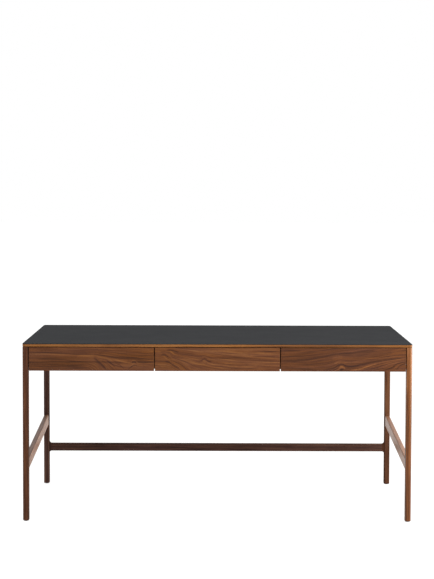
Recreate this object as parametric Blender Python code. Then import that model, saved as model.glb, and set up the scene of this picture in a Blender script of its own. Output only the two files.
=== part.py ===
"""Writing desk with three drawers, in solid walnut with a linoleum top.

The desk stands on z = 0, centred on x = 0 and y = 0. Its front faces -Y, and +X is to the right of
someone who sits at it. All lengths are in metres.

Two side frames, each of two legs, an apron and a rising stretcher, are tied together by a rear apron,
a rear stretcher and two flat rails behind the drawer fronts. Two dividers part the three drawers, which
hang on wooden runners in grooves in their sides and slide out along -Y.
"""
import math

import bmesh
import bpy
from mathutils import Matrix, Vector

# Overall size
DESK_WIDTH = 1.600
DESK_DEPTH = 0.750
DESK_HEIGHT = 0.735
CORNER_RADIUS = 0.012

# Clearances
FIT = 0.0003
OVERRUN = 0.004

# Smallest rounding that is left where one rounding runs into another, and the reach of a weld
LEAST_RADIUS = 0.0002
WELD = 0.00001

# Top
SHEET_THICKNESS = 0.002
SHEET_ARRIS = 0.0004
BOARD_THICKNESS = 0.011
LIPPING_WIDTH = 0.022
LIPPING_BEVEL_HEIGHT = 0.0022
LIPPING_BEVEL_DEPTH = 0.0030

# Legs
LEG_WIDTH = 0.025
LEG_DEPTH = 0.028
LEG_EDGE_RADIUS = 0.004
LEG_TOP_ARRIS = 0.0008
FOOT_RADIUS = 0.003

# Glides under the legs
GLIDE_RADIUS = 0.009
GLIDE_THICKNESS = 0.002
GLIDE_ARRIS = 0.0006
GLIDE_NAIL_RADIUS = 0.0015
GLIDE_NAIL_LENGTH = 0.012

# Stretchers, and the spurs of the legs that they meet
SPUR_FILLET = 0.011
SPUR_ROOT = 0.004
STRETCHER_EDGE_RADIUS = 0.004
SIDE_STRETCHER_WIDTH = 0.021
SIDE_STRETCHER_HEIGHT = 0.0465
SIDE_STRETCHER_FRONT_LEVEL = 0.2335
SIDE_STRETCHER_REAR_LEVEL = 0.2985
REAR_STRETCHER_WIDTH = 0.020
REAR_STRETCHER_HEIGHT = 0.0355
REAR_STRETCHER_LEVEL = 0.170

# Drawer fronts
FRONT_HEIGHT = 0.0965
FRONT_THICKNESS = 0.019
FRONT_SETBACK = 0.0005
FRONT_TOP_GAP = 0.002
FRONT_LEG_GAP = 0.0025
FRONT_SIDE_GAP = 0.004
FRONT_ARRIS = 0.0008
FRONT_DROP = 0.004
PULL_RADIUS = 0.006
PULL_LIP = 0.005

# Aprons, rails and dividers
APRON_INSET = 0.002
SIDE_APRON_THICKNESS = 0.020
REAR_APRON_THICKNESS = 0.018
WOOD_ARRIS = 0.0008
RAIL_SETBACK = 0.020
TOP_RAIL_DEPTH = 0.080
TOP_RAIL_THICKNESS = 0.012
BOTTOM_RAIL_DEPTH = 0.050
BOTTOM_RAIL_THICKNESS = 0.012
DIVIDER_THICKNESS = 0.018

# Tenons and housings
TENON_THICKNESS = 0.008
STRETCHER_TENON_LENGTH = 0.022
SIDE_STRETCHER_TENON_HEIGHT = 0.028
REAR_STRETCHER_TENON_HEIGHT = 0.020
SIDE_APRON_TENON_LENGTH = 0.020
REAR_APRON_TENON_LENGTH = 0.015
HOUSING_DEPTH = 0.005

# Drawer boxes
BOX_LENGTH = 0.500
BOX_RAIL_CLEARANCE = 0.002
BOX_SIDE_CLEARANCE = 0.002
BOX_SIDE_THICKNESS = 0.012
BOX_BACK_THICKNESS = 0.012
PANEL_THICKNESS = 0.006
PANEL_RISE = 0.008
PANEL_TONGUE = 0.006
TAIL_COUNT = 3
TAIL_SLOPE_SHARE = 1 / 6
PIN_TIP = 0.002
KEY_DEPTH = 0.008
KEY_NECK = 0.007
KEY_SLOPE_SHARE = 1 / 6

# Runners
RUNNER_PAST_BOX = 0.040
RUNNER_HEIGHT = 0.009
RUNNER_ENGAGEMENT = 0.007
PACKER_HEIGHT = 0.030

# Turned stop on each drawer's back
STOP_WIDTH = 0.014
STOP_THICKNESS = 0.006
STOP_LENGTH = 0.040
STOP_REACH = 0.008

# Wooden buttons that hold the top down
BUTTON_THICKNESS = 0.013
BUTTON_WIDTH = 0.030
BUTTON_LENGTH = 0.028
BUTTON_TONGUE_DEPTH = 0.007
BUTTON_TONGUE_THICKNESS = 0.006

# Countersunk screws
SCREW_HEAD_RADIUS = 0.0032
SCREW_HEAD_HEIGHT = 0.0022
SCREW_SHANK_RADIUS = 0.00175
SCREW_TIP = 0.003
TOP_SCREW_LENGTH = 0.018
RUNNER_SCREW_LENGTH = 0.015
BOX_SCREW_LENGTH = 0.013

# Counts of facets
CORNER_STEPS = 8
EDGE_STEPS = 4
FILLET_STEPS = 7
PULL_STEPS = 10
ROUND_SEGMENTS = 16
SCREW_SEGMENTS = 10

# Places along a piece, as shares of it
SIDE_APRON_TENON_SHARES = (0.54, 0.92)
REAR_APRON_TENON_SHARES = (0.08, 0.46)
RUNNER_SCREW_SHARES = (0.08, 0.92)
TOP_RAIL_SCREW_SHARES = (-0.88, -0.32, 0.32, 0.88)
PANEL_SCREW_SHARES = (-0.5, 0.5)

# Edges sharper than this are kept crisp in the shading and eased by the bevels
SHARP_ANGLE = math.radians(35)

# Planes of the legs and the top
HALF_WIDTH = DESK_WIDTH / 2
HALF_DEPTH = DESK_DEPTH / 2
SHEET_BOTTOM = DESK_HEIGHT - SHEET_THICKNESS
BOARD_TOP = SHEET_BOTTOM - FIT
BOARD_BOTTOM = BOARD_TOP - BOARD_THICKNESS
FRAME_TOP = BOARD_BOTTOM - FIT
FOOT = GLIDE_THICKNESS + FIT
LEG_INNER_X = HALF_WIDTH - LEG_WIDTH
LEG_INNER_Y = HALF_DEPTH - LEG_DEPTH
LEG_CENTRE_X = HALF_WIDTH - LEG_WIDTH / 2
LEG_CENTRE_Y = HALF_DEPTH - LEG_DEPTH / 2

# Planes of the drawer fronts
FRONT_TOP = BOARD_BOTTOM - FRONT_TOP_GAP
FRONT_BOTTOM = FRONT_TOP - FRONT_HEIGHT
FRONT_FACE_Y = -HALF_DEPTH + FRONT_SETBACK
FRONT_BACK_Y = FRONT_FACE_Y + FRONT_THICKNESS
FRONT_WIDTH = (2 * LEG_INNER_X - 2 * FRONT_LEG_GAP - 2 * FRONT_SIDE_GAP) / 3
DRAWER_PITCH = FRONT_WIDTH + FRONT_SIDE_GAP

# Planes of the aprons and rails
FRAME_BOTTOM = FRONT_BOTTOM + FRONT_DROP
SIDE_APRON_OUTER_X = HALF_WIDTH - APRON_INSET
SIDE_APRON_INNER_X = SIDE_APRON_OUTER_X - SIDE_APRON_THICKNESS
REAR_APRON_REAR_Y = HALF_DEPTH - APRON_INSET
REAR_APRON_FRONT_Y = REAR_APRON_REAR_Y - REAR_APRON_THICKNESS
RAIL_FRONT_Y = FRONT_BACK_Y + RAIL_SETBACK
TOP_RAIL_BOTTOM = FRAME_TOP - TOP_RAIL_THICKNESS
BOTTOM_RAIL_TOP = FRAME_BOTTOM + BOTTOM_RAIL_THICKNESS

# Planes of the drawer boxes
BOX_TOP = TOP_RAIL_BOTTOM - BOX_RAIL_CLEARANCE
BOX_BOTTOM = BOTTOM_RAIL_TOP + BOX_RAIL_CLEARANCE
BOX_REAR_Y = FRONT_BACK_Y + BOX_LENGTH
BOX_HALF = (DRAWER_PITCH - DIVIDER_THICKNESS) / 2 - BOX_SIDE_CLEARANCE
BOX_INNER_HALF = BOX_HALF - BOX_SIDE_THICKNESS
PANEL_BOTTOM = BOX_BOTTOM + PANEL_RISE
PANEL_TOP = PANEL_BOTTOM + PANEL_THICKNESS
PANEL_HALF = BOX_INNER_HALF + PANEL_TONGUE
BACK_BOTTOM = PANEL_TOP + FIT
BACK_FRONT_Y = BOX_REAR_Y - BOX_BACK_THICKNESS
TAIL_PITCH = (BOX_TOP - BACK_BOTTOM) / TAIL_COUNT
TAIL_TIP_HALF = (TAIL_PITCH - PIN_TIP) / 2
TAIL_ROOT_HALF = TAIL_TIP_HALF - TAIL_SLOPE_SHARE * BOX_BACK_THICKNESS

# Planes of the runners, the stops and the buttons
RUNNER_LEVEL = (BACK_BOTTOM + BOX_TOP) / 2
RUNNER_REAR_Y = BOX_REAR_Y + RUNNER_PAST_BOX
RUNNER_LENGTH = RUNNER_REAR_Y - RAIL_FRONT_Y
STOP_TOP = TOP_RAIL_BOTTOM + STOP_REACH
BUTTON_BOTTOM = FRAME_TOP - BUTTON_THICKNESS
SIDE_GROOVE_REAR_Y = LEG_INNER_Y - BUTTON_WIDTH

# Base colours, in linear red, green and blue
WALNUT_LEG = (0.235, 0.098, 0.045)
WALNUT_FRONT = (0.185, 0.078, 0.040)
WALNUT_EDGE = (0.350, 0.140, 0.045)
WALNUT_INNER = (0.210, 0.105, 0.055)
LINOLEUM = (0.056, 0.058, 0.062)
BEECH = (0.530, 0.350, 0.190)
STEEL = (0.520, 0.510, 0.480)
NYLON = (0.060, 0.055, 0.050)

# The desk's four corners: name, side along x and end along y
CORNERS = (("front_left", -1, -1), ("front_right", 1, -1), ("rear_left", -1, 1), ("rear_right", 1, 1))
SIDES = (("left", -1), ("right", 1))
BAYS = (("left", -1), ("middle", 0), ("right", 1))


def clear_scene():
    """Removes whatever the file holds."""
    for item in list(bpy.data.objects):
        bpy.data.objects.remove(item, do_unlink=True)


def finish(name, colour, roughness, metallic=0.0):
    """A plain surface finish."""
    material = bpy.data.materials.new(name)
    material.use_nodes = True
    shader = material.node_tree.nodes["Principled BSDF"]
    shader.inputs["Base Color"].default_value = (*colour, 1.0)
    shader.inputs["Roughness"].default_value = roughness
    shader.inputs["Metallic"].default_value = metallic
    return material


def make_finishes():
    """Every finish of the desk, by name."""
    return {
        "leg": finish("walnut_leg", WALNUT_LEG, 0.42),
        "front": finish("walnut_front", WALNUT_FRONT, 0.45),
        "edge": finish("walnut_edge", WALNUT_EDGE, 0.42),
        "inner": finish("walnut_inner", WALNUT_INNER, 0.55),
        "sheet": finish("linoleum", LINOLEUM, 0.72),
        "beech": finish("beech", BEECH, 0.60),
        "steel": finish("steel", STEEL, 0.35, 1.0),
        "nylon": finish("nylon", NYLON, 0.60),
    }


def new_object(name, shape, parent=None):
    """Turns a bmesh into an object, with its faces pointing out."""
    bmesh.ops.recalc_face_normals(shape, faces=shape.faces)
    mesh = bpy.data.meshes.new(name)
    shape.to_mesh(mesh)
    shape.free()
    mesh.shade_smooth()
    mesh.set_sharp_from_angle(angle=SHARP_ANGLE)
    item = bpy.data.objects.new(name, mesh)
    item.parent = parent
    bpy.context.scene.collection.objects.link(item)
    return item


def piece(name, shape, material, parent=None):
    """One sub-part of the desk."""
    item = new_object(name, shape, parent)
    item.data.materials.append(material)
    return item


def tool(name, shape, parent=None):
    """A shape that only cuts or adds to sub-parts, and isn't one itself."""
    item = new_object(name, shape, parent)
    item.hide_render = True
    item.display_type = "WIRE"
    return item


def combine(item, other, operation):
    """Adds a Boolean modifier to a sub-part."""
    modifier = item.modifiers.new(operation.lower() + "_" + other.name, "BOOLEAN")
    modifier.operation = operation
    modifier.solver = "EXACT"
    modifier.object = other


def join(item, other):
    """Makes another shape part of a sub-part."""
    combine(item, other, "UNION")


def cut(item, other):
    """Cuts another shape out of a sub-part."""
    combine(item, other, "DIFFERENCE")


def ease(item, width):
    """Rounds a sub-part's sharp edges."""
    modifier = item.modifiers.new("eased_edges", "BEVEL")
    modifier.width = width
    modifier.segments = 2
    modifier.limit_method = "ANGLE"
    modifier.angle_limit = SHARP_ANGLE


def add_box(shape, first, second, growth=0.0):
    """A box between two opposite corners, or one that stands off from it all round."""
    low = Vector([min(pair) - growth for pair in zip(first, second)])
    high = Vector([max(pair) + growth for pair in zip(first, second)])
    place = Matrix.Translation((low + high) / 2) @ Matrix.Diagonal((*(high - low), 1.0))
    bmesh.ops.create_cube(shape, size=1.0, matrix=place)


def add_loft(shape, loops):
    """A solid through closed loops that have the same number of points."""
    rings = [[shape.verts.new(point) for point in loop] for loop in loops]
    for near, far in zip(rings, rings[1:]):
        for index in range(len(near)):
            following = (index + 1) % len(near)
            shape.faces.new((near[index], near[following], far[following], far[index]))
    shape.faces.new(reversed(rings[0]))
    shape.faces.new(rings[-1])


def add_prism(shape, outline, axis, start, end):
    """An outline drawn out along an axis; its points give the other two axes in order."""
    place = {
        "X": lambda along, a, b: (along, a, b),
        "Y": lambda along, a, b: (a, along, b),
        "Z": lambda along, a, b: (a, b, along),
    }[axis]
    add_loft(shape, [[place(along, a, b) for a, b in outline] for along in (start, end)])


def aim(point, direction):
    """The placement of a shape drawn up +Z that should lie along a direction."""
    turn = Vector((0, 0, 1)).rotation_difference(Vector(direction))
    return Matrix.Translation(point) @ turn.to_matrix().to_4x4()


def add_turned(shape, profile, place, segments):
    """A solid of revolution about +Z from (radius, height) points that start and end on the axis."""
    lathe = bmesh.new()
    verts = [lathe.verts.new((radius, 0, height)) for radius, height in profile]
    edges = [lathe.edges.new(pair) for pair in zip(verts, verts[1:])]
    bmesh.ops.spin(
        lathe, geom=verts + edges, cent=(0, 0, 0), axis=(0, 0, 1), angle=2 * math.pi, steps=segments
    )
    bmesh.ops.remove_doubles(lathe, verts=lathe.verts, dist=WELD)
    mesh = bpy.data.meshes.new("turned")
    lathe.to_mesh(mesh)
    lathe.free()
    mesh.transform(place)
    shape.from_mesh(mesh)
    bpy.data.meshes.remove(mesh)


def rounded_outline(low, high, radii, steps):
    """A rectangle with four rounded corners, anticlockwise from the low corner."""
    corners = (
        (low[0], low[1], 1, 1, 180),
        (high[0], low[1], -1, 1, 270),
        (high[0], high[1], -1, -1, 0),
        (low[0], high[1], 1, -1, 90),
    )
    points = []
    for (x, y, inward_x, inward_y, first), radius, count in zip(corners, radii, steps):
        for step in range(count + 1):
            angle = math.radians(first + 90 * step / count)
            points.append((
                x + inward_x * radius + radius * math.cos(angle),
                y + inward_y * radius + radius * math.sin(angle),
            ))
    return points


def even_outline(half_width, half_height, radius):
    """A rectangle about the origin with four equal rounded corners."""
    low = (-half_width, -half_height)
    high = (half_width, half_height)
    return rounded_outline(low, high, (radius,) * 4, (EDGE_STEPS,) * 4)


def leg_outline(side, end, inset):
    """A leg's section about its own centre, with its large rounding at the desk's corner."""
    radii = [LEG_EDGE_RADIUS] * 4
    steps = [EDGE_STEPS] * 4
    outer_corner = {(-1, -1): 0, (1, -1): 1, (1, 1): 2, (-1, 1): 3}[side, end]
    radii[outer_corner] = CORNER_RADIUS
    steps[outer_corner] = CORNER_STEPS
    radii = [max(radius - inset, LEAST_RADIUS) for radius in radii]
    half_x = LEG_WIDTH / 2 - inset
    half_y = LEG_DEPTH / 2 - inset
    return rounded_outline((-half_x, -half_y), (half_x, half_y), radii, steps)


def side_stretcher_level(y):
    """Height of a side stretcher's middle line."""
    share = (y + LEG_INNER_Y) / (2 * LEG_INNER_Y)
    rise = SIDE_STRETCHER_REAR_LEVEL - SIDE_STRETCHER_FRONT_LEVEL
    return SIDE_STRETCHER_FRONT_LEVEL + rise * share


def spur_stations():
    """Distance from the leg's face and growth in half height along a spur's hollow fillet."""
    stations = [(-SPUR_ROOT, SPUR_FILLET)]
    for step in range(FILLET_STEPS + 1):
        angle = math.radians(90 * step / FILLET_STEPS)
        stations.append((SPUR_FILLET * (1 - math.cos(angle)), SPUR_FILLET * (1 - math.sin(angle))))
    return stations


def side_loop(side, y, half_width, half_height, radius):
    """One section of what runs along a side stretcher's middle line."""
    level = side_stretcher_level(y)
    outline = even_outline(half_width, half_height, radius)
    return [(side * LEG_CENTRE_X + a, y, level + b) for a, b in outline]


def rear_loop(x, half_width, half_height, radius):
    """One section of what runs along the rear stretcher's middle line."""
    outline = even_outline(half_width, half_height, radius)
    return [(x, LEG_CENTRE_Y + a, REAR_STRETCHER_LEVEL + b) for a, b in outline]


def side_spur(side, end):
    """The spur of a leg that a side stretcher meets."""
    shape = bmesh.new()
    half_width = SIDE_STRETCHER_WIDTH / 2
    loops = []
    for distance, growth in spur_stations():
        y = end * (LEG_INNER_Y - distance)
        half_height = SIDE_STRETCHER_HEIGHT / 2 + growth
        loops.append(side_loop(side, y, half_width, half_height, STRETCHER_EDGE_RADIUS))
    add_loft(shape, loops)
    return tool("side_spur", shape)


def rear_spur(side):
    """The spur of a rear leg that the rear stretcher meets."""
    shape = bmesh.new()
    half_width = REAR_STRETCHER_WIDTH / 2
    loops = []
    for distance, growth in spur_stations():
        x = side * (LEG_INNER_X - distance)
        half_height = REAR_STRETCHER_HEIGHT / 2 + growth
        loops.append(rear_loop(x, half_width, half_height, STRETCHER_EDGE_RADIUS))
    add_loft(shape, loops)
    return tool("rear_spur", shape)


def side_tenons(side, growth):
    """A side stretcher's two tenons as one bar, or the hollow that they need."""
    shape = bmesh.new()
    reach = LEG_INNER_Y - SPUR_FILLET + STRETCHER_TENON_LENGTH + growth
    half_width = TENON_THICKNESS / 2 + growth
    half_height = SIDE_STRETCHER_TENON_HEIGHT / 2 + growth
    loops = [side_loop(side, y, half_width, half_height, LEAST_RADIUS) for y in (-reach, reach)]
    add_loft(shape, loops)
    return tool("side_stretcher_tenons", shape)


def rear_tenons(growth):
    """The rear stretcher's two tenons as one bar, or the hollow that they need."""
    shape = bmesh.new()
    reach = LEG_INNER_X - SPUR_FILLET + STRETCHER_TENON_LENGTH + growth
    half_width = TENON_THICKNESS / 2 + growth
    half_height = REAR_STRETCHER_TENON_HEIGHT / 2 + growth
    add_loft(shape, [rear_loop(x, half_width, half_height, LEAST_RADIUS) for x in (-reach, reach)])
    return tool("rear_stretcher_tenons", shape)


def side_apron_tenons(side, growth):
    """A side apron's two tenons as one bar, or the hollow that they need."""
    shape = bmesh.new()
    reach = LEG_INNER_Y + SIDE_APRON_TENON_LENGTH
    middle = side * (SIDE_APRON_INNER_X + SIDE_APRON_OUTER_X) / 2
    low, high = [FRAME_BOTTOM + share * (FRAME_TOP - FRAME_BOTTOM) for share in SIDE_APRON_TENON_SHARES]
    half = TENON_THICKNESS / 2
    add_box(shape, (middle - half, -reach, low), (middle + half, reach, high), growth)
    return tool("side_apron_tenons", shape)


def rear_apron_tenons(growth):
    """The rear apron's two tenons as one bar, or the hollow that they need."""
    shape = bmesh.new()
    reach = LEG_INNER_X + REAR_APRON_TENON_LENGTH
    middle = (REAR_APRON_FRONT_Y + REAR_APRON_REAR_Y) / 2
    low, high = [FRAME_BOTTOM + share * (FRAME_TOP - FRAME_BOTTOM) for share in REAR_APRON_TENON_SHARES]
    half = TENON_THICKNESS / 2
    add_box(shape, (-reach, middle - half, low), (reach, middle + half, high), growth)
    return tool("rear_apron_tenons", shape)


def make_leg(name, side, end, material):
    """A leg with its rounded foot, the spurs for the stretchers and its mortises."""
    shape = bmesh.new()
    loops = []
    for step in range(EDGE_STEPS + 1):
        angle = math.radians(90 * step / EDGE_STEPS)
        inset = FOOT_RADIUS * (1 - math.sin(angle))
        z = FOOT + FOOT_RADIUS * (1 - math.cos(angle))
        loops.append([(x, y, z) for x, y in leg_outline(side, end, inset)])
    loops.append([(x, y, FRAME_TOP - LEG_TOP_ARRIS) for x, y in leg_outline(side, end, 0)])
    loops.append([(x, y, FRAME_TOP) for x, y in leg_outline(side, end, LEG_TOP_ARRIS)])
    add_loft(shape, loops)
    leg = piece(name, shape, material)
    leg.location = (side * LEG_CENTRE_X, end * LEG_CENTRE_Y, 0)
    join(leg, side_spur(side, end))
    cut(leg, side_tenons(side, FIT))
    cut(leg, side_apron_tenons(side, FIT))
    if end > 0:
        join(leg, rear_spur(side))
        cut(leg, rear_tenons(FIT))
        cut(leg, rear_apron_tenons(FIT))
    return leg


def make_glide(name, leg, material):
    """A glide nailed into a leg's foot, and the hole for its nail."""
    head = GLIDE_THICKNESS
    profile = (
        (0, 0),
        (GLIDE_RADIUS - GLIDE_ARRIS, 0),
        (GLIDE_RADIUS, GLIDE_ARRIS),
        (GLIDE_RADIUS, head),
        (GLIDE_NAIL_RADIUS, head),
        (GLIDE_NAIL_RADIUS, head + GLIDE_NAIL_LENGTH),
        (0, head + GLIDE_NAIL_LENGTH),
    )
    shape = bmesh.new()
    add_turned(shape, profile, Matrix(), ROUND_SEGMENTS)
    glide = piece(name, shape, material)
    glide.location = leg.location
    hole = bmesh.new()
    hole_radius = GLIDE_NAIL_RADIUS + FIT
    hole_top = head + GLIDE_NAIL_LENGTH + FIT
    profile = ((0, 0), (hole_radius, 0), (hole_radius, hole_top), (0, hole_top))
    add_turned(hole, profile, Matrix(), ROUND_SEGMENTS)
    hole_tool = tool("glide_nail_hole", hole)
    hole_tool.location = leg.location
    cut(leg, hole_tool)


def make_side_stretcher(name, side, material):
    """A stretcher that rises from the front leg to the rear leg."""
    shape = bmesh.new()
    reach = LEG_INNER_Y - SPUR_FILLET - FIT
    half_width = SIDE_STRETCHER_WIDTH / 2
    half_height = SIDE_STRETCHER_HEIGHT / 2
    loops = [side_loop(side, y, half_width, half_height, STRETCHER_EDGE_RADIUS) for y in (-reach, reach)]
    add_loft(shape, loops)
    stretcher = piece(name, shape, material)
    join(stretcher, side_tenons(side, 0))


def make_rear_stretcher(material):
    """The low stretcher between the rear legs."""
    shape = bmesh.new()
    reach = LEG_INNER_X - SPUR_FILLET - FIT
    half_width = REAR_STRETCHER_WIDTH / 2
    half_height = REAR_STRETCHER_HEIGHT / 2
    loops = [rear_loop(x, half_width, half_height, STRETCHER_EDGE_RADIUS) for x in (-reach, reach)]
    add_loft(shape, loops)
    stretcher = piece("rear_stretcher", shape, material)
    join(stretcher, rear_tenons(0))


def button_groove(first, second):
    """The groove in an apron's inner face that the buttons hook into."""
    shape = bmesh.new()
    low = BUTTON_BOTTOM - FIT
    high = BUTTON_BOTTOM + BUTTON_TONGUE_THICKNESS + FIT
    add_box(shape, (*first, low), (*second, high))
    return tool("button_groove", shape)


def rail_hollow():
    """The room that the two front rails need in whatever they cross or end in."""
    shape = bmesh.new()
    reach = SIDE_APRON_INNER_X + HOUSING_DEPTH
    front = RAIL_FRONT_Y - FIT
    top_rear = RAIL_FRONT_Y + TOP_RAIL_DEPTH + FIT
    bottom_rear = RAIL_FRONT_Y + BOTTOM_RAIL_DEPTH + FIT
    add_box(shape, (-reach, front, TOP_RAIL_BOTTOM - FIT), (reach, top_rear, FRAME_TOP + OVERRUN))
    add_box(shape, (-reach, front, FRAME_BOTTOM - OVERRUN), (reach, bottom_rear, BOTTOM_RAIL_TOP + FIT))
    return tool("rail_hollow", shape)


def make_side_apron(name, side, rails, material):
    """A side apron, housed for the rails and grooved for the buttons."""
    shape = bmesh.new()
    low = (side * SIDE_APRON_INNER_X, -LEG_INNER_Y + FIT, FRAME_BOTTOM)
    high = (side * SIDE_APRON_OUTER_X, LEG_INNER_Y - FIT, FRAME_TOP)
    add_box(shape, low, high)
    apron = piece(name, shape, material)
    ease(apron, WOOD_ARRIS)
    join(apron, side_apron_tenons(side, 0))
    cut(apron, rails)
    groove_front = (side * (SIDE_APRON_INNER_X - OVERRUN), RAIL_FRONT_Y + TOP_RAIL_DEPTH)
    groove_rear = (side * (SIDE_APRON_INNER_X + BUTTON_TONGUE_DEPTH + FIT), SIDE_GROOVE_REAR_Y)
    cut(apron, button_groove(groove_front, groove_rear))


def divider_box(shape, side, growth):
    """A divider before it is notched, or the room that it needs."""
    middle = side * DRAWER_PITCH / 2
    half = DIVIDER_THICKNESS / 2
    rear = REAR_APRON_FRONT_Y + HOUSING_DEPTH - FIT
    low = (middle - half, RAIL_FRONT_Y, FRAME_BOTTOM)
    high = (middle + half, rear, FRAME_TOP)
    add_box(shape, low, high, growth)


def make_rear_apron(material):
    """The rear apron, housed for the dividers and grooved for the buttons."""
    shape = bmesh.new()
    low = (-LEG_INNER_X + FIT, REAR_APRON_FRONT_Y, FRAME_BOTTOM)
    high = (LEG_INNER_X - FIT, REAR_APRON_REAR_Y, FRAME_TOP)
    add_box(shape, low, high)
    apron = piece("rear_apron", shape, material)
    ease(apron, WOOD_ARRIS)
    join(apron, rear_apron_tenons(0))
    housings = bmesh.new()
    for _, side in SIDES:
        divider_box(housings, side, FIT)
    cut(apron, tool("divider_housings", housings))
    groove_front = (-LEG_INNER_X + BUTTON_WIDTH, REAR_APRON_FRONT_Y - OVERRUN)
    groove_rear = (LEG_INNER_X - BUTTON_WIDTH, REAR_APRON_FRONT_Y + BUTTON_TONGUE_DEPTH + FIT)
    cut(apron, button_groove(groove_front, groove_rear))


def make_rail(name, depth, bottom, top, material):
    """A flat rail behind the drawer fronts, from side apron to side apron."""
    shape = bmesh.new()
    reach = SIDE_APRON_INNER_X + HOUSING_DEPTH - FIT
    add_box(shape, (-reach, RAIL_FRONT_Y, bottom), (reach, RAIL_FRONT_Y + depth, top))
    rail = piece(name, shape, material)
    ease(rail, WOOD_ARRIS)
    return rail


def make_divider(name, side, rails, material):
    """A divider between two drawers, notched over the rails."""
    shape = bmesh.new()
    divider_box(shape, side, 0)
    divider = piece(name, shape, material)
    cut(divider, rails)
    return divider


def make_packer(name, side, material):
    """The strip that brings an outer runner in from the side apron."""
    shape = bmesh.new()
    bay_edge = DRAWER_PITCH + BOX_HALF + BOX_SIDE_CLEARANCE
    low = (side * bay_edge, RAIL_FRONT_Y, RUNNER_LEVEL - PACKER_HEIGHT / 2)
    high = (side * (SIDE_APRON_INNER_X - FIT), RUNNER_REAR_Y, RUNNER_LEVEL + PACKER_HEIGHT / 2)
    add_box(shape, low, high)
    packer = piece(name, shape, material)
    ease(packer, WOOD_ARRIS)
    return packer


def make_runner(name, middle, side, material):
    """A runner that a drawer hangs on."""
    shape = bmesh.new()
    root = side * (BOX_HALF + BOX_SIDE_CLEARANCE - FIT)
    tip = side * (BOX_HALF - RUNNER_ENGAGEMENT)
    half = RUNNER_HEIGHT / 2
    add_box(shape, (root, RAIL_FRONT_Y, RUNNER_LEVEL - half), (tip, RUNNER_REAR_Y, RUNNER_LEVEL + half))
    runner = piece(name, shape, material)
    runner.location.x = middle
    return runner


def add_screw_hole(shape, point, direction, length):
    """The hole that clears a countersunk screw whose head lies at a point."""
    shank_radius = SCREW_SHANK_RADIUS + FIT
    profile = (
        (0, -OVERRUN),
        (SCREW_HEAD_RADIUS + FIT, -OVERRUN),
        (SCREW_HEAD_RADIUS + FIT, 0),
        (shank_radius, SCREW_HEAD_HEIGHT + FIT),
        (shank_radius, length - SCREW_TIP + FIT),
        (0, length + FIT),
    )
    add_turned(shape, profile, aim(point, direction), SCREW_SEGMENTS)


def cut_all(carriers, hole_tool):
    """Cuts the same holes out of several sub-parts."""
    for carrier in carriers:
        cut(carrier, hole_tool)


def drill_runners(carriers):
    """The holes of the screws that hold the runners to the dividers and packing strips."""
    holes = bmesh.new()
    face = BOX_HALF - RUNNER_ENGAGEMENT + FIT
    for _, bay in BAYS:
        for _, side in SIDES:
            for share in RUNNER_SCREW_SHARES:
                point = (bay * DRAWER_PITCH + side * face, RAIL_FRONT_Y + share * RUNNER_LENGTH, RUNNER_LEVEL)
                add_screw_hole(holes, point, (side, 0, 0), RUNNER_SCREW_LENGTH)
    cut_all(carriers, tool("runner_screw_holes", holes))


def add_lipping(shape, half_length, half_depth, turn):
    """A mitred lipping along the -Y edge of a board of this size, turned to its own edge."""
    mitre_gap = FIT / math.sqrt(2)
    arc_steps = CORNER_STEPS // 2
    levels = (
        (BOARD_BOTTOM, LIPPING_BEVEL_DEPTH),
        (BOARD_BOTTOM + LIPPING_BEVEL_HEIGHT, 0),
        (BOARD_TOP, 0),
    )
    loops = []
    for z, inset in levels:
        radius = max(CORNER_RADIUS - inset, LEAST_RADIUS)
        centre_x = half_length - inset - radius
        centre_y = -half_depth + inset + radius
        right = [(half_length - LIPPING_WIDTH - mitre_gap, -half_depth + LIPPING_WIDTH)]
        for step in range(arc_steps + 1):
            angle = math.radians(45 + 45 * step / arc_steps)
            x = centre_x + radius * math.cos(angle) - mitre_gap
            y = centre_y - radius * math.sin(angle)
            right.append((x, y))
        left = [(-x, y) for x, y in reversed(right)]
        loops.append([turn @ Vector((x, y, z)) for x, y in right + left])
    add_loft(shape, loops)


def make_board(finishes):
    """The core board and its four mitred lippings."""
    shape = bmesh.new()
    edge_x = HALF_WIDTH - LIPPING_WIDTH - FIT
    edge_y = HALF_DEPTH - LIPPING_WIDTH - FIT
    add_box(shape, (-edge_x, -edge_y, BOARD_BOTTOM), (edge_x, edge_y, BOARD_TOP))
    core = piece("top_core_panel", shape, finishes["inner"])
    edges = (
        ("front", HALF_WIDTH, HALF_DEPTH, 0),
        ("right", HALF_DEPTH, HALF_WIDTH, 90),
        ("rear", HALF_WIDTH, HALF_DEPTH, 180),
        ("left", HALF_DEPTH, HALF_WIDTH, 270),
    )
    for name, half_length, half_depth, degrees in edges:
        shape = bmesh.new()
        add_lipping(shape, half_length, half_depth, Matrix.Rotation(math.radians(degrees), 3, "Z"))
        piece(f"top_lipping_{name}", shape, finishes["edge"])
    return core


def make_sheet(material):
    """The linoleum sheet, which runs right out to the edges of the board."""
    shape = bmesh.new()
    loops = []
    for z, inset in ((SHEET_BOTTOM, 0), (DESK_HEIGHT - SHEET_ARRIS, 0), (DESK_HEIGHT, SHEET_ARRIS)):
        radius = max(CORNER_RADIUS - inset, LEAST_RADIUS)
        low = (-HALF_WIDTH + inset, -HALF_DEPTH + inset)
        high = (HALF_WIDTH - inset, HALF_DEPTH - inset)
        outline = rounded_outline(low, high, (radius,) * 4, (CORNER_STEPS,) * 4)
        loops.append([(x, y, z) for x, y in outline])
    add_loft(shape, loops)
    piece("linoleum_sheet", shape, material)


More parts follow.
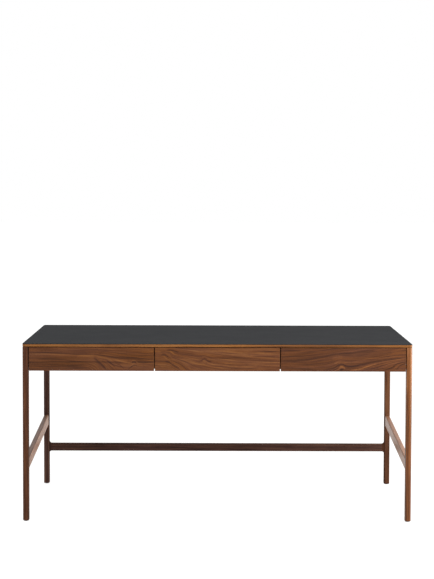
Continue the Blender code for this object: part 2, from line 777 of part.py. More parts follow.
def button_outline():
    """A button's side view: distance from the apron's face, and height."""
    tongue_top = BUTTON_BOTTOM + BUTTON_TONGUE_THICKNESS
    return (
        (-BUTTON_TONGUE_DEPTH, BUTTON_BOTTOM),
        (BUTTON_LENGTH, BUTTON_BOTTOM),
        (BUTTON_LENGTH, FRAME_TOP),
        (FIT, FRAME_TOP),
        (FIT, tongue_top),
        (-BUTTON_TONGUE_DEPTH, tongue_top),
    )


def make_buttons(material):
    """The buttons that hold the top down, and where the middles of their screws are."""
    buttons = []
    screw_places = []
    half = BUTTON_WIDTH / 2
    screw_reach = BUTTON_LENGTH / 2
    for bay_name, bay in BAYS:
        x = bay * DRAWER_PITCH
        shape = bmesh.new()
        outline = [(REAR_APRON_FRONT_Y - reach, z) for reach, z in button_outline()]
        add_prism(shape, outline, "X", x - half, x + half)
        buttons.append(piece(f"top_button_rear_{bay_name}", shape, material))
        screw_places.append((x, REAR_APRON_FRONT_Y - screw_reach))
    y = SIDE_GROOVE_REAR_Y - BUTTON_WIDTH
    for side_name, side in SIDES:
        shape = bmesh.new()
        outline = [(side * (SIDE_APRON_INNER_X - reach), z) for reach, z in button_outline()]
        add_prism(shape, outline, "Y", y - half, y + half)
        buttons.append(piece(f"top_button_side_{side_name}", shape, material))
        screw_places.append((side * (SIDE_APRON_INNER_X - screw_reach), y))
    return buttons, screw_places


def drill_top(core, top_rail, buttons, button_places):
    """The holes of the screws that hold the top to the buttons and to the top rail."""
    holes = bmesh.new()
    for x, y in button_places:
        add_screw_hole(holes, (x, y, BUTTON_BOTTOM + FIT), (0, 0, 1), TOP_SCREW_LENGTH)
    rail_middle = RAIL_FRONT_Y + TOP_RAIL_DEPTH / 2
    for share in TOP_RAIL_SCREW_SHARES:
        point = (share * SIDE_APRON_INNER_X, rail_middle, TOP_RAIL_BOTTOM + FIT)
        add_screw_hole(holes, point, (0, 0, 1), TOP_SCREW_LENGTH)
    cut_all([core, top_rail] + buttons, tool("top_screw_holes", holes))


def front_outline():
    """A drawer front's section across its length, with the finger groove behind its lower edge."""
    groove_middle = FRONT_BOTTOM + PULL_LIP + PULL_RADIUS
    points = [(FRONT_FACE_Y, FRONT_BOTTOM), (FRONT_BACK_Y, FRONT_BOTTOM)]
    for step in range(PULL_STEPS + 1):
        angle = math.radians(270 - 180 * step / PULL_STEPS)
        y = FRONT_BACK_Y + PULL_RADIUS * math.cos(angle)
        z = groove_middle + PULL_RADIUS * math.sin(angle)
        points.append((y, z))
    points.append((FRONT_BACK_Y, FRONT_TOP))
    points.append((FRONT_FACE_Y, FRONT_TOP))
    return points


def key_outline(middle, growth):
    """Plan of the dovetail key that holds a drawer side in the front, or of the housing it needs."""
    neck = KEY_NECK / 2 + growth
    tip = neck + KEY_SLOPE_SHARE * (KEY_DEPTH + growth)
    tip_y = FRONT_BACK_Y - KEY_DEPTH - growth
    heel_y = FRONT_BACK_Y + OVERRUN
    return (
        (middle - tip, tip_y),
        (middle + tip, tip_y),
        (middle + neck, FRONT_BACK_Y),
        (middle + neck, heel_y),
        (middle - neck, heel_y),
        (middle - neck, FRONT_BACK_Y),
    )


def make_drawer_front(name, material, slide):
    """A drawer front, with the housings of the side keys and the groove of the bottom panel."""
    shape = bmesh.new()
    add_prism(shape, front_outline(), "X", -FRONT_WIDTH / 2, FRONT_WIDTH / 2)
    front = piece(name, shape, material, slide)
    ease(front, FRONT_ARRIS)

    housings = bmesh.new()
    for _, side in SIDES:
        middle = side * (BOX_HALF + BOX_INNER_HALF) / 2
        add_prism(housings, key_outline(middle, FIT), "Z", FRONT_BOTTOM - OVERRUN, BOX_TOP + FIT)
    cut(front, tool("key_housings", housings, slide))

    groove = bmesh.new()
    low = (-PANEL_HALF - FIT, FRONT_BACK_Y - PANEL_TONGUE - FIT, PANEL_BOTTOM - FIT)
    high = (PANEL_HALF + FIT, FRONT_BACK_Y + OVERRUN, PANEL_TOP + FIT)
    add_box(groove, low, high)
    cut(front, tool("front_panel_groove", groove, slide))


def tail_levels():
    """The middle height of each dovetail."""
    return [BACK_BOTTOM + TAIL_PITCH * (index + 0.5) for index in range(TAIL_COUNT)]


def side_outline():
    """A drawer side seen from its face, with the dovetails at its rear end."""
    shoulder = BACK_FRONT_Y - FIT
    front = FRONT_BACK_Y + FIT
    points = [(front, BOX_BOTTOM), (BOX_REAR_Y, BOX_BOTTOM)]
    points += [(BOX_REAR_Y, BACK_BOTTOM - FIT), (shoulder, BACK_BOTTOM - FIT)]
    for level in tail_levels():
        points.append((shoulder, level - TAIL_ROOT_HALF))
        points.append((BOX_REAR_Y, level - TAIL_TIP_HALF))
        points.append((BOX_REAR_Y, level + TAIL_TIP_HALF))
        points.append((shoulder, level + TAIL_ROOT_HALF))
    points += [(shoulder, BOX_TOP), (front, BOX_TOP)]
    return points


def make_drawer_side(name, side, material, slide):
    """A drawer side with its key, its dovetails and its two grooves."""
    outer = side * BOX_HALF
    inner = side * BOX_INNER_HALF
    shape = bmesh.new()
    add_prism(shape, side_outline(), "X", outer, inner)
    board = piece(name, shape, material, slide)

    key = bmesh.new()
    add_prism(key, key_outline((outer + inner) / 2, 0), "Z", BOX_BOTTOM, BOX_TOP)
    join(board, tool("side_key", key, slide))

    grooves = bmesh.new()
    half = RUNNER_HEIGHT / 2 + FIT
    low = (outer + side * OVERRUN, RAIL_FRONT_Y - FIT, RUNNER_LEVEL - half)
    high = (outer - side * (RUNNER_ENGAGEMENT + FIT), BOX_REAR_Y + OVERRUN, RUNNER_LEVEL + half)
    add_box(grooves, low, high)
    low = (inner - side * OVERRUN, FRONT_BACK_Y - KEY_DEPTH - OVERRUN, PANEL_BOTTOM - FIT)
    high = (side * (PANEL_HALF + FIT), BOX_REAR_Y + OVERRUN, PANEL_TOP + FIT)
    add_box(grooves, low, high)
    cut(board, tool("side_grooves", grooves, slide))


def make_drawer_back(name, material, slide):
    """A drawer back, whose pins fill the spaces between the sides' dovetails."""
    shape = bmesh.new()
    add_box(shape, (-BOX_HALF, BACK_FRONT_Y, BACK_BOTTOM), (BOX_HALF, BOX_REAR_Y, BOX_TOP))
    back = piece(name, shape, material, slide)

    sockets = bmesh.new()
    near = BACK_FRONT_Y - OVERRUN
    far = BOX_REAR_Y + OVERRUN
    near_half = TAIL_ROOT_HALF - TAIL_SLOPE_SHARE * OVERRUN + FIT
    far_half = TAIL_TIP_HALF + TAIL_SLOPE_SHARE * OVERRUN + FIT
    for _, side in SIDES:
        start = side * (BOX_INNER_HALF - FIT)
        end = side * (BOX_HALF + OVERRUN)
        for level in tail_levels():
            outline = (
                (near, level - near_half),
                (far, level - far_half),
                (far, level + far_half),
                (near, level + near_half),
            )
            add_prism(sockets, outline, "X", start, end)
    cut(back, tool("tail_sockets", sockets, slide))
    return back


def make_drawer_bottom(name, material, slide):
    """The panel that slides in under the back and into the grooves."""
    shape = bmesh.new()
    low = (-PANEL_HALF, FRONT_BACK_Y - PANEL_TONGUE, PANEL_BOTTOM)
    high = (PANEL_HALF, BOX_REAR_Y, PANEL_TOP)
    add_box(shape, low, high)
    return piece(name, shape, material, slide)


def make_drawer_stop(name, material, slide):
    """The turned stop, which meets the top rail when the drawer is pulled right out."""
    half = STOP_WIDTH / 2
    radii = (half - LEAST_RADIUS,) * 4
    outline = rounded_outline((-half, STOP_TOP - STOP_LENGTH), (half, STOP_TOP), radii, (EDGE_STEPS,) * 4)
    shape = bmesh.new()
    front = BOX_REAR_Y + FIT
    add_prism(shape, outline, "Y", front, front + STOP_THICKNESS)
    return piece(name, shape, material, slide)


def make_stop_screw(name, point, direction, material, slide):
    """The screw that a stop turns on."""
    profile = (
        (0, 0),
        (SCREW_HEAD_RADIUS, 0),
        (SCREW_SHANK_RADIUS, SCREW_HEAD_HEIGHT),
        (SCREW_SHANK_RADIUS, BOX_SCREW_LENGTH - SCREW_TIP),
        (0, BOX_SCREW_LENGTH),
    )
    shape = bmesh.new()
    add_turned(shape, profile, aim(point, direction), SCREW_SEGMENTS)
    piece(name, shape, material, slide)


def drill_box(stop, back, panel, stop_point, stop_direction, slide):
    """The holes of the screws that hold the stop and the bottom panel."""
    holes = bmesh.new()
    add_screw_hole(holes, stop_point, stop_direction, BOX_SCREW_LENGTH)
    for share in PANEL_SCREW_SHARES:
        point = (share * BOX_HALF, BOX_REAR_Y - BOX_BACK_THICKNESS / 2, PANEL_BOTTOM + FIT)
        add_screw_hole(holes, point, (0, 0, 1), BOX_SCREW_LENGTH)
    cut_all((stop, back, panel), tool("box_screw_holes", holes, slide))


def make_drawer(place_name, middle, finishes):
    """One drawer, on an empty that lies on its line of travel."""
    prefix = f"{place_name}_drawer"
    slide = bpy.data.objects.new(f"{prefix}_slide", None)
    slide.location.x = middle
    bpy.context.scene.collection.objects.link(slide)
    make_drawer_front(f"{prefix}_front", finishes["front"], slide)
    for side_name, side in SIDES:
        make_drawer_side(f"{prefix}_side_{side_name}", side, finishes["inner"], slide)
    back = make_drawer_back(f"{prefix}_back", finishes["inner"], slide)
    panel = make_drawer_bottom(f"{prefix}_bottom", finishes["inner"], slide)
    stop = make_drawer_stop(f"{prefix}_stop", finishes["beech"], slide)
    stop_point = (0, BOX_REAR_Y + STOP_THICKNESS, STOP_TOP - STOP_LENGTH / 2)
    stop_direction = (0, -1, 0)
    make_stop_screw(f"{prefix}_stop_screw", stop_point, stop_direction, finishes["steel"], slide)
    drill_box(stop, back, panel, stop_point, stop_direction, slide)


def make_frame(finishes):
    """The legs, stretchers, aprons, rails, dividers and runners."""
    for name, side, end in CORNERS:
        leg = make_leg(f"leg_{name}", side, end, finishes["leg"])
        make_glide(f"foot_glide_{name}", leg, finishes["nylon"])
    rails = rail_hollow()
    runner_carriers = []
    for name, side in SIDES:
        make_side_stretcher(f"side_stretcher_{name}", side, finishes["leg"])
        make_side_apron(f"side_apron_{name}", side, rails, finishes["leg"])
        runner_carriers.append(make_divider(f"divider_{name}", side, rails, finishes["inner"]))
        runner_carriers.append(make_packer(f"runner_packer_{name}", side, finishes["inner"]))
    make_rear_stretcher(finishes["leg"])
    make_rear_apron(finishes["leg"])
    for bay_name, bay in BAYS:
        for name, side in SIDES:
            runner_name = f"{bay_name}_drawer_runner_{name}"
            runner = make_runner(runner_name, bay * DRAWER_PITCH, side, finishes["beech"])
            runner_carriers.append(runner)
    drill_runners(runner_carriers)
    make_rail(
        "front_bottom_rail", BOTTOM_RAIL_DEPTH, FRAME_BOTTOM, BOTTOM_RAIL_TOP, finishes["inner"]
    )
    return make_rail("front_top_rail", TOP_RAIL_DEPTH, TOP_RAIL_BOTTOM, FRAME_TOP, finishes["inner"])


def make_top(top_rail, finishes):
    """The board, the sheet on it and the buttons under it."""
    core = make_board(finishes)
    make_sheet(finishes["sheet"])
    buttons, button_places = make_buttons(finishes["beech"])
    drill_top(core, top_rail, buttons, button_places)


def main():
    clear_scene()
    finishes = make_finishes()
    top_rail = make_frame(finishes)
    make_top(top_rail, finishes)
    for place_name, place in BAYS:
        make_drawer(place_name, place * DRAWER_PITCH, finishes)


main()
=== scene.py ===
"""Looks of the three-drawer desk: its wood, linoleum, steel and nylon, the small screws, the floor, the
light and the camera. Every length is in metres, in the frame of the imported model: the desk stands on z = 0,
its front faces -Y and +X is to the right of someone who sits at it.
"""
import math

import bmesh
import bpy
from mathutils import Matrix, Vector


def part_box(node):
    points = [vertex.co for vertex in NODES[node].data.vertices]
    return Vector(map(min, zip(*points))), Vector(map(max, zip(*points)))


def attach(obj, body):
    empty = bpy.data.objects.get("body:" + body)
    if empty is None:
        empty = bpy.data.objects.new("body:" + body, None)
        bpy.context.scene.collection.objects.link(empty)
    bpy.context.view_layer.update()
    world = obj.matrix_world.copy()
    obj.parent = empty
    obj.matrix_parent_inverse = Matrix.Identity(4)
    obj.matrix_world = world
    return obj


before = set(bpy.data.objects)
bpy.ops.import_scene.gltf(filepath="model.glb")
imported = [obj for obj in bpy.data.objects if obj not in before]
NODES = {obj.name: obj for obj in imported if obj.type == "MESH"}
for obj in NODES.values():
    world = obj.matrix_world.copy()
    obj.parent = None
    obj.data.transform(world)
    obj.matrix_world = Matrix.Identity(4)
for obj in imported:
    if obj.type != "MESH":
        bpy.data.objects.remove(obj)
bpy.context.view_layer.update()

# Camera: its place, its turns in radians, and its focal length and centre row in pixels of the photograph
PHOTO_HEIGHT = 579
SENSOR = 36.0
CAMERA_PLACE = Vector((-0.0130, -6.1044, 1.4035))
CAMERA_YAW = 0.0017
CAMERA_PITCH = 0.0493
CAMERA_ROLL = 0.0031
FOCAL_PIXELS = 1405.69
CENTRE_ROW = 250.0
NEAR_LIMIT = 0.05
FAR_LIMIT = 200.0

# Wood tones, as linear colours from dark to pale. The tones of the legs, the rear stretcher and the side
# stretchers are lit and shaded copies of the walnut, with painted light and shade in them.
FRONT_TONES = ((0.029, 0.010, 0.005), (0.066, 0.022, 0.008), (0.107, 0.036, 0.012), (0.176, 0.068, 0.019))
# Painted shade: a darker copy of the walnut for the left front leg, away from the lamps on the right
LEFT_LEG_SHADED_TONES = (
    (0.027, 0.010, 0.005), (0.053, 0.018, 0.008), (0.082, 0.028, 0.012), (0.120, 0.046, 0.018),
)
# Painted light: a paler copy of the walnut for the right front leg, lit by the lamps on the right
RIGHT_LEG_LIT_TONES = (
    (0.053, 0.017, 0.005), (0.104, 0.034, 0.010), (0.150, 0.052, 0.014), (0.212, 0.088, 0.034),
)
# Painted reflection: a paler copy of the walnut for the side stretchers, whose inner faces reflect the white
# surroundings
SIDE_SHEEN_TONES = ((0.066, 0.027, 0.012), (0.137, 0.058, 0.026), (0.230, 0.104, 0.048), (0.320, 0.158, 0.080))
# Painted shade: darker copies of the walnut for the rear legs and the rear stretcher, under the top; the
# right rear leg's copy is less dark, nearer the lamps on the right
REAR_SHADED_TONES = ((0.019, 0.009, 0.007), (0.036, 0.016, 0.012), (0.057, 0.025, 0.018), (0.087, 0.042, 0.027))
REAR_RIGHT_SHADED_TONES = (
    (0.028, 0.011, 0.006), (0.056, 0.021, 0.010), (0.086, 0.033, 0.015), (0.127, 0.054, 0.024),
)
EDGE_TONES = ((0.095, 0.036, 0.012), (0.158, 0.061, 0.016), (0.216, 0.087, 0.023), (0.295, 0.130, 0.040))
INNER_TONES = ((0.060, 0.026, 0.013), (0.100, 0.045, 0.021), (0.150, 0.070, 0.033), (0.210, 0.108, 0.055))
BEECH_TONES = ((0.300, 0.165, 0.080), (0.390, 0.230, 0.118), (0.460, 0.285, 0.155), (0.540, 0.355, 0.205))

# Grain of the drawer fronts: how far the grain lines have sunk at three levels, by place along the desk.
# The rows reach over ROW_LENGTH from ROW_START, and their values over ROW_RANGE from ROW_LOWEST.
ROW_START = -0.8
ROW_LENGTH = 1.6
ROW_LOWEST = -0.06
ROW_RANGE = 0.14
ROW_LEVELS = (0.6293, 0.6700, 0.7107)
TOP_ROW = (
    (-0.80, 0.0), (-0.513, 0.0), (-0.399, 0.0033), (-0.2585, 0.0073), (-0.2575, 0.0),
    (-0.215, 0.0), (-0.154, 0.0041), (-0.0726, 0.0081), (0.0905, 0.0122), (0.2575, 0.0142), (0.2585, 0.0),
    (0.315, 0.0), (0.376, -0.0061), (0.437, -0.0134), (0.498, -0.0244), (0.580, -0.0358),
    (0.661, -0.0448), (0.759, -0.0541), (0.80, -0.0570),
)
MIDDLE_ROW = (
    (-0.80, 0.0), (-0.505, 0.0), (-0.484, 0.0081), (-0.460, 0.0106), (-0.399, 0.0187), (-0.338, 0.0228),
    (-0.2585, 0.0269), (-0.2575, 0.0), (-0.203, 0.0008), (-0.187, 0.0179), (-0.154, 0.0244),
    (-0.113, 0.0285), (-0.056, 0.0326), (0.0905, 0.0387), (0.2575, 0.0407), (0.2585, 0.0), (0.347, -0.0041),
    (0.437, -0.0147), (0.498, -0.0244), (0.620, -0.0305), (0.682, -0.0387), (0.759, -0.0488),
    (0.80, -0.0540),
)
BOTTOM_ROW = (
    (-0.80, 0.0), (-0.554, 0.0), (-0.513, 0.0122), (-0.488, 0.0244), (-0.460, 0.0407), (-0.431, 0.0468),
    (-0.2585, 0.0488), (-0.2575, 0.0), (-0.203, 0.0024), (-0.187, 0.0122), (-0.170, 0.0244),
    (-0.154, 0.0346), (-0.126, 0.0529), (-0.097, 0.0590), (0.001, 0.0631), (0.0905, 0.0651),
    (0.2575, 0.0651), (0.2585, 0.0), (0.457, -0.0020), (0.539, -0.0102), (0.572, -0.0122), (0.620, -0.0183),
    (0.682, -0.0265), (0.710, -0.0346), (0.735, -0.0448), (0.759, -0.0570), (0.80, -0.0600),
)

# Courses: how much paler or darker a piece is at places along it. The places are X for the fronts, the
# top's long edges and the rear stretcher, heights for the legs, and Y for the side stretchers. On the legs,
# the rear stretcher and the side stretchers a course is painted light and shade. In a curve a course lies
# about CURVE_MIDDLE, and new points of curves and ramps start there.
CURVE_MIDDLE = 0.5
FRONT_COURSE = (
    (-0.80, -0.03), (-0.62, -0.02), (-0.45, 0.09), (-0.30, 0.09), (-0.2585, 0.09), (-0.2575, 0.14),
    (0.2575, 0.11), (0.2585, -0.07), (0.45, -0.11), (0.62, -0.08), (0.80, -0.03),
)
EDGE_COURSE = (
    (-0.80, -0.10), (-0.58, 0.02), (-0.50, 0.06), (-0.44, -0.22), (-0.38, -0.10), (-0.30, 0.09),
    (-0.20, 0.20), (-0.02, 0.14), (0.10, 0.0), (0.20, -0.14), (0.35, -0.20), (0.50, -0.20), (0.60, -0.26),
    (0.70, -0.05), (0.80, 0.0),
)
# Painted light: the rear stretcher grows paler towards the lamps on the right
REAR_BAR_LIGHT_COURSE = ((-0.80, 0.0), (-0.30, 0.0), (0.0, 0.0), (0.30, 0.08), (0.55, 0.15), (0.80, 0.25))
# Painted light and shade on the legs: each grows paler upwards, the right front leg most, as a painted
# highlight from the lamps on the right
REAR_LEFT_LIGHT_COURSE = ((0.0, 0.09), (0.40, 0.10), (0.74, 0.13))
LEFT_LEG_SHADE_COURSE = ((0.0, -0.07), (0.30, -0.05), (0.50, -0.02), (0.74, 0.0))
RIGHT_LEG_HIGHLIGHT_COURSE = ((0.0, -0.06), (0.30, -0.04), (0.45, 0.10), (0.64, 0.24), (0.74, 0.44))
REAR_RIGHT_LIGHT_COURSE = ((0.0, -0.08), (0.20, -0.02), (0.32, 0.26), (0.74, 0.40))
# Painted reflection: the side stretchers' sheen, paler towards the back on the left and towards the front on
# the right
SIDE_LEFT_SHEEN_COURSE = ((-0.37, -0.16), (0.0, -0.06), (0.37, 0.12))
SIDE_RIGHT_SHEEN_COURSE = ((-0.37, 0.30), (0.0, 0.28), (0.37, 0.18))

# Knots: place along the desk, height, half width and how far the grain rises over it. A knot's reach to the
# sides and upwards is in half widths, and the power says how fast the rise fades away from it.
KNOT_REACH = 1.1
KNOT_RISE = 1.6
KNOT_POWER = -2.0
KNOTS = (
    (-0.3417, 0.6600, 0.009, 0.003),
    (-0.3417, 0.6456, 0.010, 0.004),
    (-0.2194, 0.6904, 0.016, 0.007),
    (-0.1908, 0.7087, 0.014, 0.004),
    (-0.0543, 0.6720, 0.012, 0.005),
    (0.5060, 0.6476, 0.024, 0.009),
)

# The drawer fronts in the photograph: the column of the desk's middle, a row and the height that it shows,
# and the size of a pixel there
MARK_COLUMN = 217.8
MARK_ROW = 350.0
MARK_HEIGHT = 0.7107
MARK_PIXEL = 0.004077

# How strong the main grain marks of each drawer front are, how much stronger those thinner than THIN_MARK
# are, how much of its length a mark fades over at each end, and the half widths from its middle at which it
# starts to fade to its sides and is gone
MARK_STRENGTHS = {"left": 0.62, "middle": 0.40, "right": 0.50}
THIN_MARK = 0.75
THIN_MARK_GAIN = 1.45
MARK_FADE_SHARE = 0.34
MARK_CORE = 0.2
MARK_RIM = 1.7

# Main grain marks of each drawer front: half width in pixels, how much paler, and the line that it follows
MARKS = {
    "left": (
        (0.5, -0.30, ((26, 353.2), (45, 353.2), (60, 353.5), (75, 354.3), (88, 354.3), (98, 354.2))),
        (1.0, -0.36, (
            (92, 353.9), (100, 355.2), (106, 356.5), (115, 358.0), (134, 358.5), (142, 359.6), (156, 360.6),
        )),
        (0.6, 0.34, ((26, 354.7), (45, 354.6), (60, 355.4), (76, 355.6))),
        (1.7, 0.32, ((76, 357.2), (84, 356.8), (94, 357.3))),
        (0.8, 0.40, ((96, 356.5), (104, 358.1), (110, 359.7), (116, 360.9), (124, 362.2), (132, 363.8))),
        (1.7, 0.34, ((120, 363.4), (130, 364.4), (140, 366.0), (156, 366.4))),
        (0.7, -0.26, (
            (36, 360.1), (45, 359.6), (55, 359.8), (66, 360.8), (72, 361.6), (80, 362.3), (92, 362.4),
        )),
        (2.6, -0.36, ((24, 365.6), (45, 366.3), (62, 366.4), (88, 367.2))),
        (0.5, 0.22, ((28, 362.7), (40, 362.9), (50, 363.3), (68, 363.4))),
        (0.5, 0.20, ((28, 368.5), (50, 368.6), (74, 368.6))),
        (1.6, -0.50, (
            (93.5, 358.6), (96, 360.8), (98.5, 363.2), (101, 365.4), (103.5, 367.4), (106, 369.6),
        )),
        (0.7, -0.34, ((101, 360.4), (105, 362.4), (109, 365.6), (112, 368.4), (114, 370.4))),
        (0.6, -0.30, ((106, 361.4), (110, 363.4), (114, 366.8), (117, 370.2))),
        (0.6, -0.34, ((110, 362.6), (117, 364.2), (121, 366.6), (124.6, 370.2))),
        (0.5, -0.20, ((84, 363.2), (90, 364.6), (95, 367.2), (98, 370.0))),
        (0.4, -0.22, ((118, 362.4), (124, 363.8), (132, 364.7))),
        (0.6, -1.10, ((131.6, 362.5), (134.0, 362.2), (136.4, 362.5))),
        (0.5, -0.60, ((130.4, 367.6), (132.6, 366.2), (134.5, 365.5), (137.4, 367.2))),
        (0.5, -0.40, ((127.6, 370.2), (129.2, 368.8), (131.8, 367.0))),
        (0.5, 0.30, ((131.6, 360.9), (134.2, 361.0), (138, 363.9))),
        (0.5, -0.26, ((135, 361.8), (142, 362.5), (156, 362.3))),
        (0.4, -0.20, ((136, 364.2), (143, 364.8), (156, 364.9))),
        (0.5, -0.18, ((138, 355.6), (156, 355.7))),
        (2.0, 0.16, ((140, 351.6), (156, 351.8))),
    ),
    "middle": (
        (0.8, -0.85, ((160.6, 356.0), (162.4, 354.7), (164.4, 354.6), (166.6, 355.8), (169.0, 358.4))),
        (0.7, -0.70, ((166.5, 350.8), (169.0, 350.2), (172.0, 350.3), (175.0, 351.2), (179.0, 352.6))),
        (1.1, -0.36, (
            (174, 351.4), (181, 353.1), (187, 354.0), (193, 354.6), (199, 355.7), (205, 355.2),
            (209, 356.5), (215, 357.1),
        )),
        (1.6, -0.40, (
            (207, 356.4), (215, 357.1), (225, 357.9), (235, 358.6), (245, 359.2), (256, 360.1),
            (282, 360.6),
        )),
        (0.8, 0.60, ((170.0, 351.4), (172.0, 352.4), (174.4, 354.5))),
        (1.3, 0.34, ((152, 351.1), (157, 351.7), (162.5, 353.4))),
        (0.7, 0.42, ((163.4, 356.4), (165.2, 357.6), (167.4, 359.6))),
        (1.2, -0.34, ((152, 361.4), (162, 362.0), (170, 362.3))),
        (0.9, -0.75, (
            (165, 361.7), (169, 362.6), (172, 364.2), (175, 366.2), (178, 368.2), (180.4, 370.6),
        )),
        (0.5, 0.36, ((152, 364.5), (162, 364.6), (172, 365.1))),
        (0.5, -0.30, ((152, 365.4), (158, 366.2), (161.5, 368.2))),
        (0.5, -0.22, ((172, 358.6), (180, 362.2), (187, 366.4), (190, 369.6))),
        (0.4, -0.30, ((173, 361.2), (179, 364.2), (184, 367.6), (187.4, 370.4))),
        (0.4, -0.26, ((177, 358.8), (185, 362.0), (191, 366.3), (196, 370.2))),
        (0.4, 0.26, ((176, 361.4), (182, 364.4), (187, 367.8))),
        (0.4, 0.26, ((182, 361.6), (189, 364.6), (194, 367.8))),
        (0.4, -0.26, ((183, 359.4), (192, 362.4), (198, 363.6), (204, 364.2))),
        (1.1, 0.32, ((192, 369.4), (200, 369.0), (208, 369.1), (216, 369.6))),
        (0.6, -0.75, (
            (200.4, 361.0), (202.6, 359.8), (204.5, 359.1), (206.4, 359.9), (208.4, 361.3), (212, 362.0),
        )),
        (0.8, 0.50, ((203.4, 360.6), (206.4, 362.2), (209.4, 363.7), (216, 364.8))),
        (0.5, 0.36, ((211, 364.4), (221, 365.1), (230, 366.1), (240, 366.8))),
        (0.5, -0.40, ((208, 366.2), (220, 366.8), (230, 367.8), (240, 368.3), (260, 368.6))),
        (0.4, -0.34, ((236, 365.5), (244, 365.5), (256, 365.4))),
        (0.6, -0.34, ((248, 351.0), (262, 351.1), (282, 351.0))),
        (0.6, 0.26, ((256, 352.7), (268, 352.6), (282, 352.6))),
        (0.7, -0.22, ((246, 354.9), (262, 354.9), (282, 354.8))),
        (0.5, -0.40, ((252, 356.6), (266, 356.4), (282, 356.3))),
        (0.4, -0.28, ((222, 355.4), (236, 355.4), (252, 355.6))),
        (1.2, 0.28, ((176, 350.0), (188, 350.4), (200, 351.4), (216, 351.2))),
        (1.2, 0.30, ((210, 351.3), (226, 351.6), (248, 352.6))),
        (0.4, 0.26, ((222, 363.6), (236, 364.2), (250, 363.8), (268, 363.9))),
        (0.5, 0.24, ((250, 358.0), (264, 358.2), (282, 358.2))),
        (0.4, -0.26, ((228, 362.2), (236, 362.5), (246, 362.4))),
    ),
    "right": (
        (1.3, -0.46, (
            (278, 360.8), (288, 360.6), (295, 361.0), (300, 360.2), (306, 359.6), (312, 358.5),
            (318, 357.3), (325, 356.3), (331, 355.0), (337, 353.9), (345, 353.3),
        )),
        (1.0, -0.46, ((338, 353.7), (345, 353.3), (352, 352.9), (358, 352.0), (366, 351.2), (380, 350.4))),
        (1.2, 0.24, ((300, 350.6), (312, 350.2), (324, 350.4))),
        (1.8, 0.30, ((333, 357.8), (338, 356.8), (341, 356.6), (344, 357.4))),
        (2.4, -0.20, ((311, 363.0), (318, 362.2), (327, 361.2), (337, 361.8))),
        (0.4, 0.24, ((312, 360.6), (319, 359.2), (328, 357.6))),
        (0.4, 0.20, ((318, 362.6), (325, 361.2), (332, 359.8))),
        (0.9, -0.75, (
            (323, 370.6), (329, 369.1), (333, 368.3), (337, 366.7), (340, 365.1), (343, 364.5),
            (346, 365.4), (350, 366.2), (356, 365.8), (362, 364.5), (370, 362.7), (378, 361.3),
            (384, 360.4),
        )),
        (0.6, -0.36, ((378, 361.4), (386, 360.0), (394, 358.9), (408, 356.9))),
        (0.6, 0.40, ((334, 363.9), (338, 362.7), (343, 362.2), (349, 363.3))),
        (0.9, -0.24, ((341, 360.4), (347, 360.6), (352, 360.8), (358, 360.2))),
        (1.2, 0.75, ((340.2, 367.4), (342.2, 366.2), (344.6, 367.2), (346.4, 368.8))),
        (0.6, -0.75, ((341.0, 370.4), (343.0, 369.5), (345.0, 368.3))),
        (0.4, -0.40, ((331, 370.4), (335, 369.6), (339, 367.9))),
        (0.6, 0.60, ((350, 370.6), (356, 369.7), (362, 368.6), (367, 366.8), (372, 365.2), (378, 363.3))),
        (0.5, 0.44, ((374, 364.4), (380, 362.7), (386, 361.4), (394, 359.9), (408, 358.0))),
        (0.5, 0.40, ((362, 359.4), (372, 358.4), (382, 357.7), (394, 356.4), (408, 355.4))),
        (0.4, 0.24, ((354, 361.4), (362, 360.5), (372, 360.0))),
        (0.4, -0.26, ((362, 369.2), (370, 366.6), (378, 364.5), (388, 362.4))),
        (0.4, -0.24, ((370, 369.8), (378, 367.2), (386, 364.8), (395, 362.2), (408, 359.8))),
        (0.4, 0.30, ((378, 368.4), (386, 365.6), (394, 363.0), (408, 360.8))),
        (0.5, -0.50, ((391.6, 370.6), (393.0, 367.8), (395.4, 365.4), (399, 363.4), (408, 361.2))),
        (0.6, -0.55, ((398.0, 370.6), (399.2, 367.8), (401.4, 365.3), (408, 362.4))),
        (0.5, 0.40, ((394.6, 370.6), (396.2, 367.6), (398.6, 365.3), (408, 362.0))),
        (1.8, 0.32, ((392, 352.0), (398, 351.4), (408, 351.2))),
        (0.9, -0.20, ((370, 356.0), (378, 356.6), (392, 355.9))),
        (0.4, -0.24, ((282, 350.6), (292, 350.4), (302, 350.5))),
        (0.5, 0.22, ((278, 352.6), (290, 352.5), (300, 352.0), (310, 351.4))),
        (0.4, -0.20, ((278, 356.4), (290, 356.2), (304, 355.6))),
        (0.4, 0.20, ((278, 365.4), (292, 365.4), (304, 365.0))),
        (0.4, -0.22, ((290, 368.4), (300, 368.4), (312, 367.8))),
    ),
}

# Layers of the wood's figure, each a noise: changes in a metre along the grain, shift that sets it apart,
# width across the grain, detail and roughness. In depth a layer is DEPTH_GAIN times as wide as across.
RING = 0.0060
DEPTH_GAIN = 3.0
DRIFT = (1.7, 0.0, 0.11, 1.0, 0.5)
BANDS = (1.0, 3.0, RING * 1.9, 3.0, 0.62)
VEINS = (0.7, 23.0, RING * 2.1, 1.0, 0.5)
PATCHES = (2.6, 37.0, 0.055, 2.0, 0.5)
HUES = (2.2, 51.0, RING * 1.1, 2.0, 0.5)

